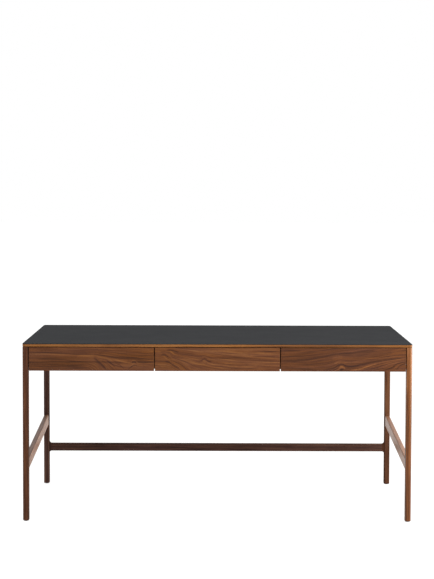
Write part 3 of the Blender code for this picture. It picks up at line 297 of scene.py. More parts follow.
# What sets the figure of the drawer fronts apart from that of the other wood
FRONT_FIGURE = {
    "rings": (3.2, 11.0, RING * 0.40, 2.0, 0.6),
    "flecks": (12.0, 67.0, RING * 0.34, 1.0, 0.5),
    "drift_reach": 0.010,
    "band_weight": 0.60,
    "tints": ((1.07, 1.01, 0.60), (0.93, 0.99, 1.40)),
}
PLAIN_FIGURE = {
    "rings": (1.8, 11.0, RING * 0.62, 2.0, 0.6),
    "flecks": (9.0, 67.0, RING * 0.50, 1.0, 0.5),
    "drift_reach": 0.022,
    "band_weight": 0.95,
    "tints": ((1.02, 1.00, 0.84), (0.98, 0.99, 1.16)),
}

# How much each layer changes the shade from MIDDLE_SHADE. The shade picks the tone, from the darkest at 0
# to the palest at 1, and the hue layer and the patches pick the tint, at HUE_STOPS.
NOISE_MIDDLE = 0.5
MIDDLE_SHADE = 0.50
RING_WEIGHT = 2.10
FLECK_WEIGHT = 1.50
PATCH_WEIGHT = 0.55
FIBRE_WEIGHT = 0.20
VEIN_WEIGHT = -0.24
VEIN_WIDTH = 0.030
TONE_STOPS = (0.0, 0.30, 0.60, 1.0)
HUE_WEIGHT = 0.6
HUE_STOPS = (0.10, 0.50)

# Fibres and pores: changes in a metre along and across the grain, shift, detail and roughness
FIBRES = (30.0, 1300.0, 0.0, 2.0, 0.6)
PORES = (95.0, 1900.0, 5.0, 1.0, 0.5)
PORE_RANGE = (0.63, 0.73)
PORE_COVER = 0.45
PORE_DARKNESS = 0.45
PORE_ROUGHNESS = 0.18

# Surface of the wood: the shades between which it gets smoother, how much rougher and smoother it is there,
# how far fibres stand out against a pore's depth, and the relief's height and strength
POLISH_RANGE = (0.1, 0.9)
DARK_ROUGHER = 0.06
PALE_SMOOTHER = 0.04
FIBRE_HEIGHT = 0.35
WOOD_RELIEF = (0.00009, 0.8)

# Stripes of single pieces: place across the grain, half width and how much paler. The left front leg
# is darker along its inner edge, and its pale outer stripe is a painted highlight on its rounded corner.
# The dark stripes of the side stretchers are painted shade on their top faces.
LEFT_LEG_STRIPE_AND_HIGHLIGHT = ((-0.777, 0.006, -0.20), (-0.7915, 0.003, 0.14))
# Painted shade: darker top faces of the side stretchers
SIDE_LEFT_TOP_SHADE = ((0.2895, 0.005, -0.34),)
SIDE_RIGHT_TOP_SHADE = ((0.2895, 0.004, -0.26),)
STRIPE_CORE = 0.3
STRIPE_RIM = 1.6

# How far the side stretchers rise from the front legs to the rear ones, and over what distance
STRETCHER_RISE = 0.065
STRETCHER_RUN = 0.694

# Other finishes. A noise has its changes in a metre along each axis, its detail and its roughness. Tones
# have their places on the noise. A roughness has two values of the noise, and the roughness at each. A
# relief has its height and its strength.
LINOLEUM_CLOUDS = ((9.0, 9.0, 9.0), 3.0, 0.5)
LINOLEUM_FLECKS = ((420.0, 420.0, 420.0), 2.0, 0.6)
LINOLEUM_GRIT = ((1600.0, 1600.0, 1600.0), 2.0, 0.5)
LINOLEUM_CLOUD_WEIGHT = 0.15
LINOLEUM_FLECK_WEIGHT = 0.45
LINOLEUM_GRIT_HEIGHT = 0.6
LINOLEUM_TONES = (
    (0.1, (0.0089, 0.0094, 0.0109)), (0.5, (0.0112, 0.0119, 0.0136)), (0.9, (0.0141, 0.0149, 0.0168)),
)
LINOLEUM_ROUGHNESS = (0.3, 0.7, 0.84, 0.88)
LINOLEUM_RELIEF = (0.00006, 0.6)
LINOLEUM_GLOSS = 0.10
STEEL_PATCHES = ((600.0, 600.0, 600.0), 3.0, 0.5)
STEEL_LINES = ((3500.0, 3500.0, 900.0), 2.0, 0.5)
STEEL_TONES = ((0.3, (0.46, 0.45, 0.42)), (0.7, (0.66, 0.65, 0.62)))
STEEL_ROUGHNESS = (0.3, 0.7, 0.30, 0.46)
STEEL_RELIEF = (0.00002, 0.5)
NYLON_GRAIN = ((2400.0, 2400.0, 2400.0), 2.0, 0.5)
NYLON_SCUFFS = ((260.0, 900.0, 260.0), 3.0, 0.5)
NYLON_TONES = ((0.35, (0.020, 0.018, 0.017)), (0.75, (0.052, 0.047, 0.043)))
NYLON_ROUGHNESS = (0.3, 0.8, 0.50, 0.68)
NYLON_RELIEF = (0.00004, 0.6)

# Floor
FLOOR_REACH = 40.0
FLOOR_CELLS = 8
FLOOR_CLOUDS = ((1.4, 1.4, 1.4), 2.0, 0.5)
FLOOR_TONES = ((0.2, (0.215, 0.215, 0.213)), (0.8, (0.225, 0.225, 0.223)))
FLOOR_ROUGHNESS = 0.9
FLOOR_GLOSS = 0.1
FLOOR_GLOW = 0.80

# Light of the surroundings, which grows upwards, to the back and to the right: two places on the way from
# -1 to 1, and the strength at each. The camera sees the surroundings at SKY_SEEN.
SKY_ABOVE = (0.15, 0.85, 0.0, 1.45)
SKY_BEHIND = (-0.15, 0.70, 0.0, 0.50)
SKY_RIGHT = (-0.30, 0.90, 0.0, 0.18)
SKY_BASE = 0.06
SKY_SEEN = 1.0

# Lamps: name, place, point that it faces, width and height, power in watts and colour
LAMPS = (
    ("key_high", (1.9, -3.0, 3.3), (0.1, -0.3, 0.5), (2.2, 1.6), 80, (1.0, 0.97, 0.93)),
    ("key_right", (2.3, -1.7, 1.5), (0.7, -0.3, 0.5), (0.8, 1.2), 47, (1.0, 0.96, 0.92)),
    ("glow_right", (3.3, -0.10, 0.62), (0.8, -0.36, 0.50), (1.7, 1.0), 84, (1.0, 0.96, 0.90)),
    ("fill_left", (-3.0, -1.2, 1.1), (-0.5, -0.1, 0.40), (0.9, 1.8), 12, (0.97, 0.98, 1.0)),
)

# Screws. The thread's steps are shares of its pitch, each with its radius. The cross recess has the reach
# and the half width of its arms, at its mouth and at its floor.
SCREW_HEAD_RADIUS = 0.0032
SCREW_HEAD_HEIGHT = 0.0022
SCREW_RIM = 0.0002
SCREW_SHANK_RADIUS = 0.00150
SCREW_THREAD_RADIUS = 0.00175
SCREW_PITCH = 0.0011
SCREW_TIP = 0.003
SCREW_SIDES = 24
THREAD_STEPS = ((0.35, SCREW_SHANK_RADIUS), (0.5, SCREW_THREAD_RADIUS), (0.65, SCREW_SHANK_RADIUS))
CROSS_MOUTH = (0.0019, 0.00042)
CROSS_FLOOR = (0.0010, 0.00026)
CROSS_DEPTH = 0.0011

# Places of the screws' heads, and the screws' lengths. A reach is from the middle of a drawer's bay, and a
# share is of a runner or of half the top rail.
BAYS = (("left", -1), ("middle", 0), ("right", 1))
SIDES = (("left", -1), ("right", 1))
BAY_PITCH = 0.51633
RUNNER_SCREW_SHARES = (("front", 0.08), ("rear", 0.92))
RUNNER_SCREW_REACH = 0.24047
RUNNER_SCREW_LENGTH = 0.015
RUNNER_FRONT = -0.3355
RUNNER_LENGTH = 0.520
RUNNER_LEVEL = 0.68145
PANEL_SCREW_REACH = 0.12358
PANEL_SCREW_Y = 0.1385
PANEL_SCREW_LENGTH = 0.013
PANEL_BOTTOM = 0.6495
TOP_SCREW_LENGTH = 0.018
BUTTON_BOTTOM = 0.7087
REAR_BUTTON_Y = 0.341
SIDE_BUTTON_X = 0.764
SIDE_BUTTON_Y = 0.287
RAIL_SCREW_SHARES = (("outer", 0.88), ("inner", 0.32))
RAIL_HALF_LENGTH = 0.778
RAIL_SCREW_Y = -0.2955
RAIL_BOTTOM = 0.7097
UP = (0, 0, 1)

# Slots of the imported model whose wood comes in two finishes, and the words in the names of the nodes whose
# grain runs from front to back. On the others it runs from side to side.
GRAINED_SLOTS = ("walnut_edge", "walnut_inner", "beech")
FRONT_TO_BACK = (
    "top_lipping_left", "top_lipping_right", "divider", "packer", "drawer_side", "drawer_runner",
    "button_rear",
)


class Net:
    """The node network of one material or of the world."""

    def __init__(self, owner):
        self.owner = owner
        owner.use_nodes = True
        self.nodes = owner.node_tree.nodes
        self.links = owner.node_tree.links
        self.nodes.clear()

    def node(self, kind, **settings):
        made = self.nodes.new(kind)
        for key, value in settings.items():
            setattr(made, key, value)
        return made

    def put(self, socket, value):
        if isinstance(value, bpy.types.NodeSocket):
            self.links.new(value, socket)
        else:
            socket.default_value = value

    def filled(self, made, values):
        """A node's first output, once its inputs have these values."""
        for socket, value in zip(made.inputs, values):
            self.put(socket, value)
        return made.outputs[0]

    def math(self, operation, *values):
        return self.filled(self.node("ShaderNodeMath", operation=operation), values)

    def place(self):
        return self.node("ShaderNodeTexCoord").outputs["Object"]

    def split(self, vector):
        made = self.node("ShaderNodeSeparateXYZ")
        self.put(made.inputs[0], vector)
        return made.outputs

    def unite(self, x, y, z):
        return self.filled(self.node("ShaderNodeCombineXYZ"), (x, y, z))

    def noise(self, vector, detail, roughness):
        made = self.node("ShaderNodeTexNoise")
        self.put(made.inputs["Vector"], vector)
        self.put(made.inputs["Scale"], 1.0)
        self.put(made.inputs["Detail"], detail)
        self.put(made.inputs["Roughness"], roughness)
        return made.outputs["Fac"]

    def speckle(self, scale, detail, roughness):
        """A noise of the place, with this many changes in a metre along each axis."""
        scaled = self.filled(self.node("ShaderNodeVectorMath", operation="MULTIPLY"), (self.place(), scale))
        return self.noise(scaled, detail, roughness)

    def span(self, value, low, high, start, end, kind="SMOOTHSTEP"):
        made = self.node("ShaderNodeMapRange", interpolation_type=kind)
        return self.filled(made, (value, low, high, start, end))

    def ramp(self, value, stops):
        made = self.node("ShaderNodeValToRGB")
        self.put(made.inputs[0], value)
        elements = made.color_ramp.elements
        while len(elements) < len(stops):
            elements.new(CURVE_MIDDLE)
        for element, (position, colour) in zip(elements, stops):
            element.position = position
            element.color = (*colour, 1.0)
        return made.outputs["Color"]

    def curve(self, value, points):
        made = self.node("ShaderNodeFloatCurve")
        self.put(made.inputs["Value"], value)
        made.mapping.extend = "HORIZONTAL"
        line = made.mapping.curves[0]
        while len(line.points) < len(points):
            line.points.new(CURVE_MIDDLE, CURVE_MIDDLE)
        for point, place in zip(line.points, points):
            point.location = place
            point.handle_type = "AUTO_CLAMPED"
        made.mapping.update()
        return made.outputs[0]

    def mix(self, share, first, second, blend="MIX"):
        made = self.node("ShaderNodeMix", data_type="RGBA", blend_type=blend)
        self.put(made.inputs["Factor"], share)
        for key, value in (("A", first), ("B", second)):
            socket = next(entry for entry in made.inputs if entry.name == key and entry.type == "RGBA")
            self.put(socket, (*value, 1.0) if isinstance(value, tuple) else value)
        return next(entry for entry in made.outputs if entry.type == "RGBA")

    def bump(self, height, distance, strength):
        made = self.node("ShaderNodeBump")
        self.put(made.inputs["Height"], height)
        self.put(made.inputs["Distance"], distance)
        self.put(made.inputs["Strength"], strength)
        return made.outputs[0]

    def surface(self, **values):
        """The finished material, with these values in its shader's sockets of the same names."""
        shader = self.node("ShaderNodeBsdfPrincipled")
        out = self.node("ShaderNodeOutputMaterial")
        self.links.new(shader.outputs[0], out.inputs["Surface"])
        for key, value in values.items():
            if isinstance(value, tuple):
                value = (*value, 1.0)
            self.put(shader.inputs[key.replace("_", " ")], value)
        return self.owner


def new_net(name):
    return Net(bpy.data.materials.new(name))


def row(net, share, points):
    """A smooth line through one row's points, from 0 to 1 over the rows' length and range."""
    stops = [((x - ROW_START) / ROW_LENGTH, (lift - ROW_LOWEST) / ROW_RANGE) for x, lift in points]
    return net.curve(share, stops)


def board_lift(net, x, z):
    """How far the grain lines of the drawer fronts' boards have sunk at a place."""
    share = net.math("DIVIDE", net.math("SUBTRACT", x, ROW_START), ROW_LENGTH)
    top = row(net, share, TOP_ROW)
    middle = row(net, share, MIDDLE_ROW)
    bottom = row(net, share, BOTTOM_ROW)
    low = net.span(z, *ROW_LEVELS[:2], 0.0, 1.0, kind="LINEAR")
    high = net.span(z, *ROW_LEVELS[1:], 0.0, 1.0, kind="LINEAR")
    blend = net.math("MULTIPLY_ADD", net.math("SUBTRACT", middle, bottom), low, bottom)
    blend = net.math("MULTIPLY_ADD", net.math("SUBTRACT", top, middle), high, blend)
    return net.math("MULTIPLY_ADD", blend, ROW_RANGE, ROW_LOWEST)


def knots(net, x, z):
    """How far the grain lines rise over the knots at a place."""
    rise = 0.0
    for knot_x, knot_z, half_width, height in KNOTS:
        reach = net.math("DIVIDE", net.math("SUBTRACT", x, knot_x), KNOT_REACH * half_width)
        level = net.math("DIVIDE", net.math("SUBTRACT", z, knot_z), KNOT_RISE * half_width)
        spread = net.math("MULTIPLY_ADD", reach, reach, net.math("MULTIPLY_ADD", level, level, 1.0))
        rise = net.math("MULTIPLY_ADD", net.math("POWER", spread, KNOT_POWER), height, rise)
    return rise


def marks(net, bay, x, z):
    """How much paler or darker the main grain marks of one drawer front make a place."""
    low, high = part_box(f"{bay}_drawer_front")
    width = high.x - low.x
    height = high.z - low.z
    share = net.math("DIVIDE", net.math("SUBTRACT", x, low.x), width)
    level = net.math("DIVIDE", net.math("SUBTRACT", z, low.z), height)
    total = 0.0
    for half_width, paler, line in MARKS[bay]:
        strength = MARK_STRENGTHS[bay] * (THIN_MARK_GAIN if half_width < THIN_MARK else 1.0)
        stops = []
        for column, mark_row in line:
            mark_x = (column - MARK_COLUMN) * MARK_PIXEL
            mark_z = MARK_HEIGHT - (mark_row - MARK_ROW) * MARK_PIXEL
            stops.append(((mark_x - low.x) / width, (mark_z - low.z) / height))
        first, last = stops[0][0], stops[-1][0]
        fade = MARK_FADE_SHARE * (last - first)
        away = net.math("ABSOLUTE", net.math("SUBTRACT", level, net.curve(share, stops)))
        half = half_width * MARK_PIXEL / height
        body = net.span(away, MARK_CORE * half, MARK_RIM * half, paler * strength, 0.0)
        ends = net.curve(share, ((first, 0.0), (first + fade, 1.0), (last - fade, 1.0), (last, 0.0)))
        total = net.math("MULTIPLY_ADD", body, ends, total)
    return total


def follow(net, length, course):
    """How much paler or darker a course makes a place along the grain."""
    first, last = course[0][0], course[-1][0]
    share = net.math("DIVIDE", net.math("SUBTRACT", length, first), last - first)
    stops = [((stop - first) / (last - first), paler + CURVE_MIDDLE) for stop, paler in course]
    return net.math("SUBTRACT", net.curve(share, stops), CURVE_MIDDLE)


def wood(name, along, tones, seed, tilt=0.0, contrast=1.0, roughness=0.42, gloss=0.30, bay=None, stripes=(),
         course=None):
    """Oiled wood whose grain runs along one axis: growth bands, thin dark veins, fibres and pores. A bay's
    name gives the figure of its drawer front, stripes lie at a distance across the grain, and a course
    says how much paler the wood is at places along it."""
    net = new_net(name)
    figure = FRONT_FIGURE if bay else PLAIN_FIGURE
    place = net.place()
    if tilt:
        turned = net.node("ShaderNodeVectorRotate", rotation_type="X_AXIS")
        net.put(turned.inputs["Vector"], place)
        net.put(turned.inputs["Angle"], tilt)
        place = turned.outputs[0]
    x, y, z = net.split(place)
    length, across, deep = {"X": (x, z, y), "Y": (y, z, x), "Z": (z, x, y)}[along]
    if bay:
        across = net.math("SUBTRACT", net.math("ADD", across, board_lift(net, x, z)), knots(net, x, z))

    def layer(settings, level):
        stretch, shift, width, detail, coarseness = settings
        return net.noise(net.unite(
            net.math("MULTIPLY_ADD", length, stretch, seed + shift),
            net.math("DIVIDE", level, width),
            net.math("DIVIDE", deep, width * DEPTH_GAIN),
        ), detail, coarseness)

    def centred(settings, level):
        return net.math("SUBTRACT", layer(settings, level), NOISE_MIDDLE)

    def fine(settings, start):
        stretch, scale, shift, detail, coarseness = settings
        return net.noise(net.unite(
            net.math("MULTIPLY_ADD", length, stretch, start + shift),
            net.math("MULTIPLY", across, scale),
            net.math("MULTIPLY", deep, scale),
        ), detail, coarseness)

    waved = net.math("MULTIPLY_ADD", centred(DRIFT, across), figure["drift_reach"], across)
    patches = centred(PATCHES, waved)
    veins = net.span(net.math("ABSOLUTE", centred(VEINS, waved)), 0.0, VEIN_WIDTH, 1.0, 0.0)
    fibres = fine(FIBRES, 0.0)
    pores = net.span(fine(PORES, seed), *PORE_RANGE, 0.0, 1.0)
    shade = MIDDLE_SHADE
    for change, weight in (
        (centred(BANDS, waved), figure["band_weight"]),
        (centred(figure["rings"], waved), RING_WEIGHT),
        (centred(figure["flecks"], waved), FLECK_WEIGHT),
        (patches, PATCH_WEIGHT),
    ):
        shade = net.math("MULTIPLY_ADD", change, weight * contrast, shade)
    shade = net.math("MULTIPLY_ADD", net.math("SUBTRACT", fibres, NOISE_MIDDLE), FIBRE_WEIGHT, shade)
    shade = net.math("MULTIPLY_ADD", veins, VEIN_WEIGHT * contrast, shade)
    for middle, half_width, paler in stripes:
        away = net.math("ABSOLUTE", net.math("SUBTRACT", across, middle))
        stripe = net.span(away, STRIPE_CORE * half_width, STRIPE_RIM * half_width, paler, 0.0)
        shade = net.math("ADD", stripe, shade)
    if course:
        shade = net.math("ADD", follow(net, length, course), shade)
    if bay:
        shade = net.math("ADD", marks(net, bay, x, z), shade)

    colour = net.ramp(shade, list(zip(TONE_STOPS, tones)))
    hue = net.math("MULTIPLY", patches, HUE_WEIGHT)
    hue = net.math("MULTIPLY_ADD", layer(HUES, waved), HUE_WEIGHT, hue)
    tint = net.ramp(hue, list(zip(HUE_STOPS, figure["tints"])))
    colour = net.mix(1.0, colour, tint, "MULTIPLY")
    pore_colour = tuple(PORE_DARKNESS * part for part in tones[0])
    colour = net.mix(net.math("MULTIPLY", pores, PORE_COVER), colour, pore_colour)
    height = net.math("SUBTRACT", net.math("MULTIPLY", fibres, FIBRE_HEIGHT), pores)
    polish = net.span(shade, *POLISH_RANGE, roughness + DARK_ROUGHER, roughness - PALE_SMOOTHER)
    return net.surface(
        Base_Color=colour, Roughness=net.math("MULTIPLY_ADD", pores, PORE_ROUGHNESS, polish),
        Normal=net.bump(height, *WOOD_RELIEF), Specular_IOR_Level=gloss,
    )


def linoleum(name):
    """Matt charcoal linoleum: faint clouds, fine flecks and a soft pressed surface."""
    net = new_net(name)
    clouds = net.speckle(*LINOLEUM_CLOUDS)
    flecks = net.speckle(*LINOLEUM_FLECKS)
    grit = net.speckle(*LINOLEUM_GRIT)
    shade = MIDDLE_SHADE
    for change, weight in ((clouds, LINOLEUM_CLOUD_WEIGHT), (flecks, LINOLEUM_FLECK_WEIGHT)):
        shade = net.math("MULTIPLY_ADD", net.math("SUBTRACT", change, NOISE_MIDDLE), weight, shade)
    height = net.math("MULTIPLY_ADD", grit, LINOLEUM_GRIT_HEIGHT, flecks)
    return net.surface(
        Base_Color=net.ramp(shade, LINOLEUM_TONES), Roughness=net.span(clouds, *LINOLEUM_ROUGHNESS),
        Normal=net.bump(height, *LINOLEUM_RELIEF), Specular_IOR_Level=LINOLEUM_GLOSS,
    )


def steel(name):
    """Zinc-plated steel with a turned sheen and slight dull patches."""
    net = new_net(name)
    patches = net.speckle(*STEEL_PATCHES)
    return net.surface(
        Base_Color=net.ramp(patches, STEEL_TONES), Roughness=net.span(patches, *STEEL_ROUGHNESS),
        Metallic=1.0, Normal=net.bump(net.speckle(*STEEL_LINES), *STEEL_RELIEF),
    )


def nylon(name):
    """Dark nylon of the glides, moulded with a fine matt grain and scuffed underneath."""
    net = new_net(name)
    scuffs = net.speckle(*NYLON_SCUFFS)
    return net.surface(
        Base_Color=net.ramp(scuffs, NYLON_TONES), Roughness=net.span(scuffs, *NYLON_ROUGHNESS),
        Normal=net.bump(net.speckle(*NYLON_GRAIN), *NYLON_RELIEF),
    )


def paper_floor(name):
    """Pale seamless floor that glows softly, with the faintest mottling."""
    net = new_net(name)
    return net.surface(
        Base_Color=net.ramp(net.speckle(*FLOOR_CLOUDS), FLOOR_TONES), Roughness=FLOOR_ROUGHNESS,
        Specular_IOR_Level=FLOOR_GLOSS, Emission_Color=(1.0, 1.0, 1.0), Emission_Strength=FLOOR_GLOW,
    )


def make_finishes():
    """Every finish, by the name of the one node that wears it or by a name for the many that do."""
    tilt = -math.atan2(STRETCHER_RISE, STRETCHER_RUN)
    front = {"gloss": 0.15, "course": FRONT_COURSE}
    edge = {"contrast": 0.6, "gloss": 0.14}
    inner = {"contrast": 0.6, "roughness": 0.52, "gloss": 0.18}
    beech = {"contrast": 0.5, "roughness": 0.50, "gloss": 0.2}
    return {
        # The legs, the rear stretcher and the side stretchers wear lit and shaded copies of the walnut, with
        # stripes and courses of painted light and shade
        "leg_front_left": wood(
            "walnut_leg_left", "Z", LEFT_LEG_SHADED_TONES, seed=3.1, roughness=0.66, gloss=0.12,
            stripes=LEFT_LEG_STRIPE_AND_HIGHLIGHT, course=LEFT_LEG_SHADE_COURSE,
        ),
        "leg_front_right": wood(
            "walnut_leg_right", "Z", RIGHT_LEG_LIT_TONES, seed=8.6, roughness=0.34, gloss=0.19,
            course=RIGHT_LEG_HIGHLIGHT_COURSE,
        ),
        "leg_rear_left": wood(
            "walnut_leg_rear", "Z", REAR_SHADED_TONES, seed=5.3, roughness=0.72, gloss=0.08,
            course=REAR_LEFT_LIGHT_COURSE,
        ),
        "leg_rear_right": wood(
            "walnut_leg_rear_right", "Z", REAR_RIGHT_SHADED_TONES, seed=4.4, roughness=0.72, gloss=0.08,
            course=REAR_RIGHT_LIGHT_COURSE,
        ),
        "rear_bar": wood(
            "walnut_rear_bar", "X", REAR_SHADED_TONES, seed=5.3, roughness=0.66, gloss=0.10,
            course=REAR_BAR_LIGHT_COURSE,
        ),
        "side_stretcher_left": wood(
            "walnut_side_bar_left", "Y", SIDE_SHEEN_TONES, seed=6.4, tilt=tilt, contrast=0.5, gloss=0.48,
            stripes=SIDE_LEFT_TOP_SHADE, course=SIDE_LEFT_SHEEN_COURSE,
        ),
        "side_stretcher_right": wood(
            "walnut_side_bar_right", "Y", SIDE_SHEEN_TONES, seed=9.4, tilt=tilt, contrast=0.36, gloss=0.55,
            stripes=SIDE_RIGHT_TOP_SHADE, course=SIDE_RIGHT_SHEEN_COURSE,
        ),
        "side_apron": wood("walnut_side_apron", "Y", FRONT_TONES, seed=9.2, gloss=0.18),
        "left_drawer_front": wood(
            "walnut_front_left", "X", FRONT_TONES, seed=2.0, contrast=0.58, bay="left", **front,
        ),
        "middle_drawer_front": wood(
            "walnut_front_middle", "X", FRONT_TONES, seed=7.0, contrast=0.58, bay="middle", **front,
        ),
        "right_drawer_front": wood(
            "walnut_front_right", "X", FRONT_TONES, seed=2.0, contrast=0.50, bay="right", **front,
        ),
        "walnut_edge_long": wood(
            "walnut_edge_long", "X", EDGE_TONES, seed=12.7, course=EDGE_COURSE, **edge,
        ),
        "walnut_edge_short": wood("walnut_edge_short", "Y", EDGE_TONES, seed=15.9, **edge),
        "walnut_inner_long": wood("walnut_inner_long", "X", INNER_TONES, seed=21.0, **inner),
        "walnut_inner_short": wood("walnut_inner_short", "Y", INNER_TONES, seed=24.0, **inner),
        "beech_long": wood("beech_long", "X", BEECH_TONES, seed=31.0, **beech),
        "beech_short": wood("beech_short", "Y", BEECH_TONES, seed=34.0, **beech),
        "linoleum": linoleum("linoleum"),
        "steel": steel("steel"),
        "nylon": nylon("nylon"),
    }


def shared_finish(name, slot):
    """The finish of a node that has none of its own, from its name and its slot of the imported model."""
    if name.startswith("side_apron"):
        return "side_apron"
    if name.startswith("rear_"):
        return "rear_bar"
    if slot in GRAINED_SLOTS:
        return slot + ("_short" if any(words in name for words in FRONT_TO_BACK) else "_long")
    return slot


def dress_nodes(finishes):
    """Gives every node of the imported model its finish."""
    for name, node in NODES.items():
        packed_slot = node.material_slots[0].name.split(".")[0]
        key = name if name in finishes else shared_finish(name, packed_slot)
        for slot in node.material_slots:
            slot.material = finishes[key]


def add_item(name, data):
    item = bpy.data.objects.new(name, data)
    bpy.context.scene.collection.objects.link(item)
    return item


def add_ring(shape, radius, height):
    """The corners of one turn round a screw."""
    turn = 2 * math.pi / SCREW_SIDES
    ring = []
    for i in range(SCREW_SIDES):
        ring.append(shape.verts.new((radius * math.cos(i * turn), radius * math.sin(i * turn), height)))
    return ring


def bridge(shape, low, high):
    for i in range(len(low)):
        j = (i + 1) % len(low)
        shape.faces.new((low[i], low[j], high[j], high[i]))


def loop_edges(shape, loop):
    """The edges of a closed loop of corners, new where the shape has none yet."""
    pairs = [(loop[i], loop[(i + 1) % len(loop)]) for i in range(len(loop))]
    return [shape.edges.get(pair) or shape.edges.new(pair) for pair in pairs]


def cross_outline(arm, half):
    """The twelve corners of the cross recess in a screw's head."""
    corners = []
    for quarter in range(4):
        turn = Matrix.Rotation(quarter * math.pi / 2, 3, "Z")
        for x, y in ((arm, -half), (arm, half), (half, half)):
            corners.append(turn @ Vector((x, y, 0)))
    return corners


def screw_mesh(name, length):
    """A countersunk wood screw that points along +Z, with the rim of its head at z = 0."""
    shape = bmesh.new()
    rim = add_ring(shape, SCREW_HEAD_RADIUS - SCREW_RIM, 0.0)
    edge = add_ring(shape, SCREW_HEAD_RADIUS, SCREW_RIM)
    neck = add_ring(shape, SCREW_SHANK_RADIUS, SCREW_HEAD_HEIGHT)
    bridge(shape, rim, edge)
    bridge(shape, edge, neck)
    last = neck
    height = SCREW_HEAD_HEIGHT
    thread_end = length - SCREW_TIP
    while height + SCREW_PITCH < thread_end:
        for step, radius in THREAD_STEPS:
            ring = add_ring(shape, radius, height + step * SCREW_PITCH)
            bridge(shape, last, ring)
            last = ring
        height += SCREW_PITCH
    root = add_ring(shape, SCREW_SHANK_RADIUS, thread_end)
    bridge(shape, last, root)
    point = shape.verts.new((0, 0, length))
    for i in range(SCREW_SIDES):
        shape.faces.new((root[i], root[(i + 1) % SCREW_SIDES], point))
    depth = Vector((0, 0, CROSS_DEPTH))
    mouth = [shape.verts.new(corner) for corner in cross_outline(*CROSS_MOUTH)]
    floor = [shape.verts.new(corner + depth) for corner in cross_outline(*CROSS_FLOOR)]
    bridge(shape, floor, mouth)
    shape.faces.new(floor)
    edges = loop_edges(shape, rim) + loop_edges(shape, mouth)
    bmesh.ops.triangle_fill(shape, use_beauty=True, use_dissolve=False, edges=edges)
    bmesh.ops.recalc_face_normals(shape, faces=shape.faces)
    mesh = bpy.data.meshes.new(name)
    shape.to_mesh(mesh)
    shape.free()
    return mesh


def aim(point, direction):
    turn = Vector(UP).rotation_difference(Vector(direction)).to_matrix().to_4x4()
    return Matrix.Translation(Vector(point)) @ turn


def add_screw(name, point, direction, length, body, material):
    item = add_item(name, screw_mesh(name, length))
    item.data.transform(aim(point, direction))
    item.data.materials.append(material)
    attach(item, body)


def add_screws(material):
    """The small screws, in the holes that the model has for them."""
    for bay_name, bay in BAYS:
        middle = bay * BAY_PITCH
        for side_name, side in SIDES:
            for end_name, share in RUNNER_SCREW_SHARES:
                y = RUNNER_FRONT + share * RUNNER_LENGTH
                point = (middle + side * RUNNER_SCREW_REACH, y, RUNNER_LEVEL)
                name = f"{bay_name}_runner_{side_name}_screw_{end_name}"
                add_screw(name, point, (side, 0, 0), RUNNER_SCREW_LENGTH, "frame", material)
            point = (middle + side * PANEL_SCREW_REACH, PANEL_SCREW_Y, PANEL_BOTTOM)
            name = f"{bay_name}_bottom_screw_{side_name}"
            add_screw(name, point, UP, PANEL_SCREW_LENGTH, f"{bay_name}_drawer", material)
        point = (middle, REAR_BUTTON_Y, BUTTON_BOTTOM)
        add_screw(f"rear_button_screw_{bay_name}", point, UP, TOP_SCREW_LENGTH, "frame", material)
    for side_name, side in SIDES:
        point = (side * SIDE_BUTTON_X, SIDE_BUTTON_Y, BUTTON_BOTTOM)
        add_screw(f"side_button_screw_{side_name}", point, UP, TOP_SCREW_LENGTH, "frame", material)
        for place_name, share in RAIL_SCREW_SHARES:
            point = (side * share * RAIL_HALF_LENGTH, RAIL_SCREW_Y, RAIL_BOTTOM)
            name = f"top_rail_screw_{side_name}_{place_name}"
            add_screw(name, point, UP, TOP_SCREW_LENGTH, "frame", material)


def add_floor():
    shape = bmesh.new()
    bmesh.ops.create_grid(shape, x_segments=FLOOR_CELLS, y_segments=FLOOR_CELLS, size=FLOOR_REACH)
    mesh = bpy.data.meshes.new("floor")
    shape.to_mesh(mesh)
    shape.free()
    mesh.materials.append(paper_floor("floor_paper"))
    add_item("floor", mesh)


def add_lamp(name, place, target, size, power, colour):
    data = bpy.data.lights.new(name, "AREA")
    data.shape = "RECTANGLE"
    data.size, data.size_y = size
    data.energy = power
    data.color = colour
    item = add_item(name, data)
    turn = (Vector(target) - Vector(place)).to_track_quat("-Z", "Y").to_matrix().to_4x4()
    item.matrix_world = Matrix.Translation(Vector(place)) @ turn
    item.visible_camera = False


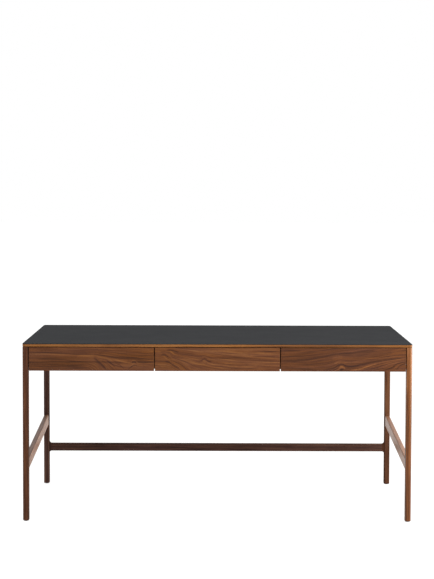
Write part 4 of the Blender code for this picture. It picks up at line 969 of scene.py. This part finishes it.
def add_world():
    """White surroundings where the camera sees them. As light they are bright above and behind the desk,
    and dark in front of it."""
    world = bpy.data.worlds.new("studio")
    bpy.context.scene.world = world
    net = Net(world)
    x, y, z = net.split(net.node("ShaderNodeTexCoord").outputs["Generated"])
    high_and_back = net.math("ADD", net.span(z, *SKY_ABOVE), net.span(y, *SKY_BEHIND))
    right = net.math("ADD", net.span(x, *SKY_RIGHT), SKY_BASE)
    shaders = []
    for strength in (net.math("ADD", high_and_back, right), SKY_SEEN):
        shader = net.node("ShaderNodeBackground")
        net.put(shader.inputs["Strength"], strength)
        net.put(shader.inputs["Color"], (1.0, 1.0, 1.0, 1.0))
        shaders.append(shader.outputs[0])
    seen_by_camera = net.node("ShaderNodeLightPath").outputs["Is Camera Ray"]
    mix = net.filled(net.node("ShaderNodeMixShader"), (seen_by_camera, *shaders))
    net.put(net.node("ShaderNodeOutputWorld").inputs[0], mix)


def add_light():
    add_world()
    for lamp in LAMPS:
        add_lamp(*lamp)
    view = bpy.context.scene.view_settings
    view.view_transform = "Standard"
    view.look = "None"
    view.exposure = 0.0
    view.gamma = 1.0


def add_camera():
    forward = Vector((
        math.sin(CAMERA_YAW) * math.cos(CAMERA_PITCH),
        math.cos(CAMERA_YAW) * math.cos(CAMERA_PITCH),
        -math.sin(CAMERA_PITCH),
    ))
    level = Vector((math.cos(CAMERA_YAW), -math.sin(CAMERA_YAW), 0))
    upright = level.cross(forward)
    right = level * math.cos(CAMERA_ROLL) + upright * math.sin(CAMERA_ROLL)
    up = upright * math.cos(CAMERA_ROLL) - level * math.sin(CAMERA_ROLL)
    data = bpy.data.cameras.new("camera")
    data.sensor_width = SENSOR
    data.sensor_fit = "AUTO"
    data.lens = FOCAL_PIXELS / PHOTO_HEIGHT * SENSOR
    data.shift_y = (CENTRE_ROW - PHOTO_HEIGHT / 2) / PHOTO_HEIGHT
    data.clip_start = NEAR_LIMIT
    data.clip_end = FAR_LIMIT
    item = add_item("camera", data)
    turn = Matrix((right, up, -forward)).transposed().to_4x4()
    item.matrix_world = Matrix.Translation(CAMERA_PLACE) @ turn
    bpy.context.scene.camera = item


def main():
    finishes = make_finishes()
    dress_nodes(finishes)
    add_screws(finishes["steel"])
    add_floor()
    add_light()
    add_camera()


main()
